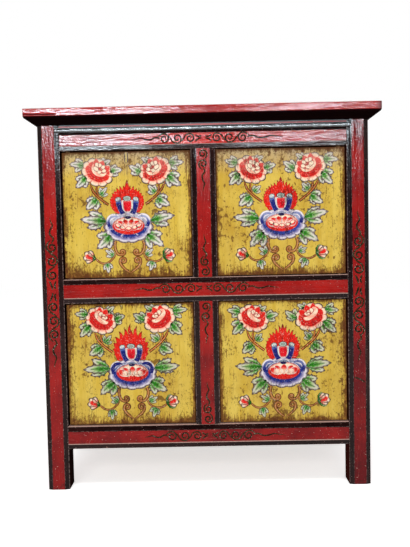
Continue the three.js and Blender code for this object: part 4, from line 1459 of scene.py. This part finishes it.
# How each door was painted. lift is how far up the whole painting sits, in mm. glow is half the height of the
# fire and spike the length of its crest. licks gives how many tongues it has, how long and how wide they are.
# outline_grey, green and pale shade the outlines, the leaves and the flowers. ring_lobes, ring_light and
# hook_blue are for the blue of the lotus. drips gives across, start, length and width of each run of lacquer.
HANDS = {
    "lower_left_door": dict(
        seed=11, lift=2.0, glow=38.0, spike=22.0, licks=(15, 12.0, 6.0),
        outline_grey=0.05, green=1.0, pale=0.1, ring_lobes=0.0, ring_light=0.1, hook_blue=1.0,
        separate_petals=False, drips=[(-20, 138, 12, 5)],
    ),
    "lower_right_door": dict(
        seed=23, lift=0.0, glow=38.0, spike=30.0, licks=(23, 9.5, 4.4),
        outline_grey=0.1, green=0.85, pale=0.0, ring_lobes=0.0, ring_light=0.0, hook_blue=0.5,
        separate_petals=False, drips=[],
    ),
    "upper_left_door": dict(
        seed=37, lift=-2.5, glow=32.0, spike=32.0, licks=(23, 7.5, 4.2),
        outline_grey=0.35, green=0.35, pale=0.9, ring_lobes=0.05, ring_light=0.0, hook_blue=0.15,
        separate_petals=True, drips=[(0, 147, 27, 10), (1, 118, 26, 2.4)],
    ),
    "upper_right_door": dict(
        seed=41, lift=-2.5, glow=34.0, spike=29.0, licks=(25, 7.5, 4.0),
        outline_grey=0.3, green=0.5, pale=0.6, ring_lobes=0.0, ring_light=0.6, hook_blue=0.3,
        separate_petals=True, drips=[],
    ),
}


def paint_doors():
    for door, ways in HANDS.items():
        low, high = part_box(f"{door}_panel")
        middle = ((low.x + high.x) / 2.0, low.y, (low.z + high.z) / 2.0 + ways["lift"] * MM)
        face = Face(f"{door}_painting", door, middle, ways["seed"])
        for key, value in ways.items():
            setattr(face, key, value)
        face.line = blend(LINE_MAROON, LINE_GREY, face.outline_grey)
        bouquet(face)
        whole = face.finish(PAINTING, "ochre_paint")
        # The painting carries the painted glare of its door too
        write_attribute(whole, "fade", glare_reach(door))


# Scrollwork: dark lines of running curls on the red bands of the frame
def scroll_tint(part, across):
    return blend(SCROLL_LINE, SCROLL_WORN, wave(9.0 * part))


# The lead into a curl, back along the run and up, in parts of its radius: out of the tail or the next curl
LEADS = {
    False: ((1.5, 0.15), (0.8, 0.8)),
    True: ((2.3, -0.85), (1.6, -0.3), (0.95, 0.68)),
}


class Run:
    """A line of curls along a rail or an upright. Places are given along it and across it, in mm."""

    def __init__(self, face, upright, start, level, line=4.2):
        self.face = face
        self.line = line
        self.upright = upright
        self.start = start
        self.level = level

    def draw(self, points, thinner=1.0, tapers=(0.1, 0.2), steps=3):
        places = [(self.start + along, self.level + across) for along, across in points]
        if self.upright:
            places = [(across, up) for up, across in places]
        self.face.stroke(places, self.line * thinner, scroll_tint, 0.2, tapers, steps, 4)

    def curl(self, along, radius, facing, side, joined=False):
        """One curl that winds in from the edge of the band."""
        start = 90.0 * side if facing > 0 else 180.0 - 90.0 * side
        lead = [(along - facing * radius * back, side * radius * up) for back, up in LEADS[joined]]
        self.draw([*lead, *spiral((along, 0.0), radius, start, 1.35, -facing * side, 0.2, 12)])

    def tail(self, along, facing, length, swing):
        """A line that swings less and less toward its end."""
        waves = [
            (along + facing * length * k / 6, swing * math.sin(1.9 * k) * (1.0 - 0.1 * k)) for k in range(7)
        ]
        self.draw(waves, 1.0, (0.1, 0.5), 4)

    def half(self, facing, curls, links, tail_start, length, swing, turn=1):
        """One half of a run, from its middle outward."""
        for along, radius, side, joined in curls:
            self.curl(facing * along, radius, -facing, side * turn, joined)
        for link in links:
            self.draw([(facing * along, across) for along, across in link])
        self.tail(facing * tail_start, facing, length, swing)


# Curls from the middle of a run outward: along, radius, which way up and whether joined to the next
RAIL_CURLS = ((31.0, 10.2, 1, True), (60.0, 10.8, -1, True), (90.0, 11.2, 1, False))
LEG_CURLS = ((38.0, 11.0, 1, True), (70.0, 11.5, -1, True), (102.0, 11.5, 1, False))
STILE_CURLS = ((13.0, 9.5, 1, False), (36.0, 9.5, -1, False))
# The two short lines that join both halves at the middle
RAIL_LINKS = (((19.0, -8.0), (12.0, -2.0), (4.0, 0.0)), ((19.0, 8.0), (11.0, 3.0), (4.0, 6.0)))
LEG_LINKS = (((24.0, -8.0), (14.0, -3.0), (3.0, 0.0)), ((24.0, 8.0), (13.0, 4.0), (5.0, 7.0)))
# Middle across, lengths of the left and the right tail, and level, in mm
RAIL_RUNS = (
    (2.0, (66.0, 84.0), 816.0),
    (-3.0, (66.0, 74.0), 470.2),
    (4.0, (56.0, 76.0), 123.0),
)
LEG_MIDDLE = 355.0
LEG_LEVEL = 470.0
LEG_LINE = 5.2
LEG_TAILS = ((-1, 66.0), (1, 60.0))
STILE_SPANS = ((150.0, 440.0), (496.0, 793.0))
STILE_LINE = 4.6
STILE_TAIL_LENGTH = 56.0
# Where each tail starts, from the middle of its run, and how far it swings to either side
RAIL_TAIL_START, RAIL_SWING = 99.0, 3.6
LEG_TAIL_START, LEG_SWING = 112.0, 6.0
STILE_TAIL_START, STILE_SWING = 44.0, 4.5
# One stroke that slants across the right leg
LEG_STROKE_LEVEL = 250.0
LEG_STROKE_MIDDLE = 356.0
LEG_STROKE = ((5.0, -13.0), (0.0, 0.0), (-8.0, 13.0))


def scrollwork():
    face = Face("frame_scrollwork", "cabinet", (0.0, FRONT, 0.0), 5)
    for start, lengths, level in RAIL_RUNS:
        run = Run(face, False, start, level)
        for facing, length in zip((-1, 1), lengths):
            run.half(facing, RAIL_CURLS, RAIL_LINKS, RAIL_TAIL_START, length, RAIL_SWING)
    for side in (-1, 1):
        run = Run(face, True, LEG_LEVEL, side * LEG_MIDDLE, LEG_LINE)
        for facing, length in LEG_TAILS:
            run.half(facing, LEG_CURLS, LEG_LINKS, LEG_TAIL_START, length, LEG_SWING, side)
    for low, high in STILE_SPANS:
        for end, facing in ((high, -1), (low, 1)):
            run = Run(face, True, end, 0.0, STILE_LINE)
            run.half(facing, STILE_CURLS, (), STILE_TAIL_START, STILE_TAIL_LENGTH, STILE_SWING)
    Run(face, True, LEG_STROKE_LEVEL, LEG_STROKE_MIDDLE).draw(LEG_STROKE, 1.1)
    face.finish(SCROLL_PAINT, "black_lacquer")


paint_doors()
scrollwork()


# Studio
WORLD_LIGHT = 0.42
FLOOR_LIFT = 0.58
FLAG_DISTANCE = 6.8
FLAG_SIZE = (12.5, 7.6, 1.0)
FLAG_HEIGHT = 0.6
FLOOR_SIZE = 14.0
WHITE = (1.0, 1.0, 1.0)
DARK = (0.0, 0.0, 0.0)
CLOTH_TONES = ((0.03, 0.03, 0.03), (0.05, 0.05, 0.05))
FLOOR_TONES = ((0.96, 0.96, 0.96), (0.98, 0.98, 0.98))
DAYLIGHT = (0.8, 0.92, 1.0)


def flag():
    """A dark cloth behind the camera, so that the flat lacquer mirrors a dim room, as in the photograph."""
    bpy.ops.mesh.primitive_plane_add(size=1.0)
    cloth = bpy.context.object
    cloth.name = "studio_flag"
    cloth.scale = FLAG_SIZE
    cloth.rotation_euler = (math.radians(90.0), 0.0, 0.0)
    cloth.location = (0.0, FRONT - FLAG_DISTANCE, FLAG_HEIGHT)
    board = Board("flag_cloth")
    weave = board.noise(40.0, detail=2.0)
    board.finish(board.mix(weave, *CLOTH_TONES), 0.9, shine=0.0)
    cloth.data.materials.append(board.material)
    cloth.visible_camera = False
    cloth.visible_diffuse = False
    cloth.visible_shadow = False
    cloth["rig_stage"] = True


def surround():
    """Shows plain white to the camera and in reflections, and a soft light to everything else."""
    world = bpy.data.worlds.new("studio_surround")
    bpy.context.scene.world = world
    sky = Palette(world)
    plain = sky.node("ShaderNodeBackground", {}, {"Color": WHITE, "Strength": 1.0})["Background"]
    dim = sky.node("ShaderNodeBackground", {}, {"Color": WHITE, "Strength": WORLD_LIGHT})["Background"]
    sky.tree.nodes.remove(sky.tree.nodes["Background"])
    chosen = sky.node("ShaderNodeMixShader", {}, {"Fac": sky.shown(), 1: dim, 2: plain})["Shader"]
    sky.feed(sky.tree.nodes["World Output"].inputs["Surface"], chosen)


def studio():
    bpy.ops.mesh.primitive_plane_add(size=FLOOR_SIZE, location=(0.0, 0.0, 0.0))
    floor = bpy.context.object
    floor.name = "floor"
    board = Board("studio_floor")
    grain = board.noise(2.0, detail=1.0)
    board.finish(board.mix(grain, *FLOOR_TONES), 0.8, shine=0.0)
    lift = board.mix(board.shown(), DARK, (FLOOR_LIFT, FLOOR_LIFT, FLOOR_LIFT))
    board.feed(board.shader.inputs["Emission Color"], lift)
    board.shader.inputs["Emission Strength"].default_value = 1.0
    floor.data.materials.append(board.material)
    floor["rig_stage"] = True
    surround()


def lamp(name, place, aim, width, height, watts, window_for=()):
    """A soft lamp that nothing mirrors. A window lights nothing and is mirrored only by the pieces named."""
    window = bool(window_for)
    data = bpy.data.lights.new(name, "AREA")
    data.shape = "RECTANGLE"
    data.size = width
    data.size_y = height
    data.energy = watts
    data.color = DAYLIGHT if window else WHITE
    lamp_object = new_object(name, data)
    direction = Vector(aim) - Vector(place)
    turn = direction.to_track_quat("-Z", "Y").to_matrix().to_4x4()
    lamp_object.matrix_world = Matrix.Translation(place) @ turn
    lamp_object.visible_camera = False
    lamp_object.visible_diffuse = not window
    lamp_object.visible_glossy = window
    if window:
        mirrors = bpy.data.collections.new(f"{name}_mirrors")
        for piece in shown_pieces():
            if piece.name.startswith(window_for):
                mirrors.objects.link(piece)
        lamp_object.light_linking.receiver_collection = mirrors


LAMP_LINE = FRONT - 3.0
WINDOW_LINE = FRONT - 6.0
LOW_WINDOW_LINE = FRONT - 1.56
CEILING_LINE = FRONT - 0.8
DOORS = (0.0, FRONT, 0.7)
LEFT_BEAD, RIGHT_BEAD = (-0.2, FRONT, 0.798), (0.2, FRONT, 0.798)
CABINET_MIDDLE = (0.0, 0.0, 0.6)
HEAD = ("front_top_rail", "bead", "top_board_front_edge")
UPRIGHTS = ("front_leg", "upper_centre_stile")
LOW_RAIL = ("front_top_rail",)
# Name, place, aim, width, height and watts, then the pieces that mirror a window
LAMPS = (
    ("left_lamp", (-0.9, LAMP_LINE, 1.5), DOORS, 1.2, 1.0, 30.0),
    ("right_lamp", (0.9, LAMP_LINE, 1.5), DOORS, 1.2, 1.0, 11.0),
    ("left_window", (-1.25, WINDOW_LINE, 1.99), DOORS, 1.7, 0.7, 780.0, HEAD),
    ("right_window", (1.1, WINDOW_LINE, 2.02), DOORS, 1.2, 0.66, 360.0, HEAD),
    ("left_high_window", (-1.02, WINDOW_LINE, 2.26), DOORS, 1.9, 0.5, 520.0, UPRIGHTS),
    ("right_high_window", (1.25, WINDOW_LINE, 2.16), DOORS, 1.5, 0.56, 260.0, UPRIGHTS),
    ("left_low_window", (-0.5, LOW_WINDOW_LINE, 0.06), LEFT_BEAD, 0.45, 0.25, 60.0, LOW_RAIL),
    ("right_low_window", (0.4, LOW_WINDOW_LINE, 0.06), RIGHT_BEAD, 0.6, 0.25, 32.0, LOW_RAIL),
    ("ceiling", (0.0, CEILING_LINE, 2.2), CABINET_MIDDLE, 1.6, 0.4, 18.0),
)
CAMERA_HEIGHT = 0.583
CAMERA_DISTANCE = 1.527
CAMERA_SIDE = 0.010
CAMERA_YAW = 0.40
CAMERA_PITCH = 2.95
CAMERA_ROLL = 1.20
FOCAL_LENGTH = 43.4
FILM_WIDTH = 36.0


def camera():
    data = bpy.data.cameras.new("camera")
    view = new_object("camera", data)
    bpy.context.scene.camera = view
    data.sensor_width = FILM_WIDTH
    data.lens = FOCAL_LENGTH
    place = Matrix.Translation((CAMERA_SIDE, FRONT - CAMERA_DISTANCE, CAMERA_HEIGHT))
    yaw = Matrix.Rotation(math.radians(CAMERA_YAW), 4, "Z")
    pitch = Matrix.Rotation(math.radians(90.0 - CAMERA_PITCH), 4, "X")
    roll = Matrix.Rotation(math.radians(-CAMERA_ROLL), 4, "Z")
    view.matrix_world = place @ yaw @ pitch @ roll


studio()
flag()
for row in LAMPS:
    lamp(*row)
camera()

bpy.context.scene.view_settings.view_transform = "Standard"
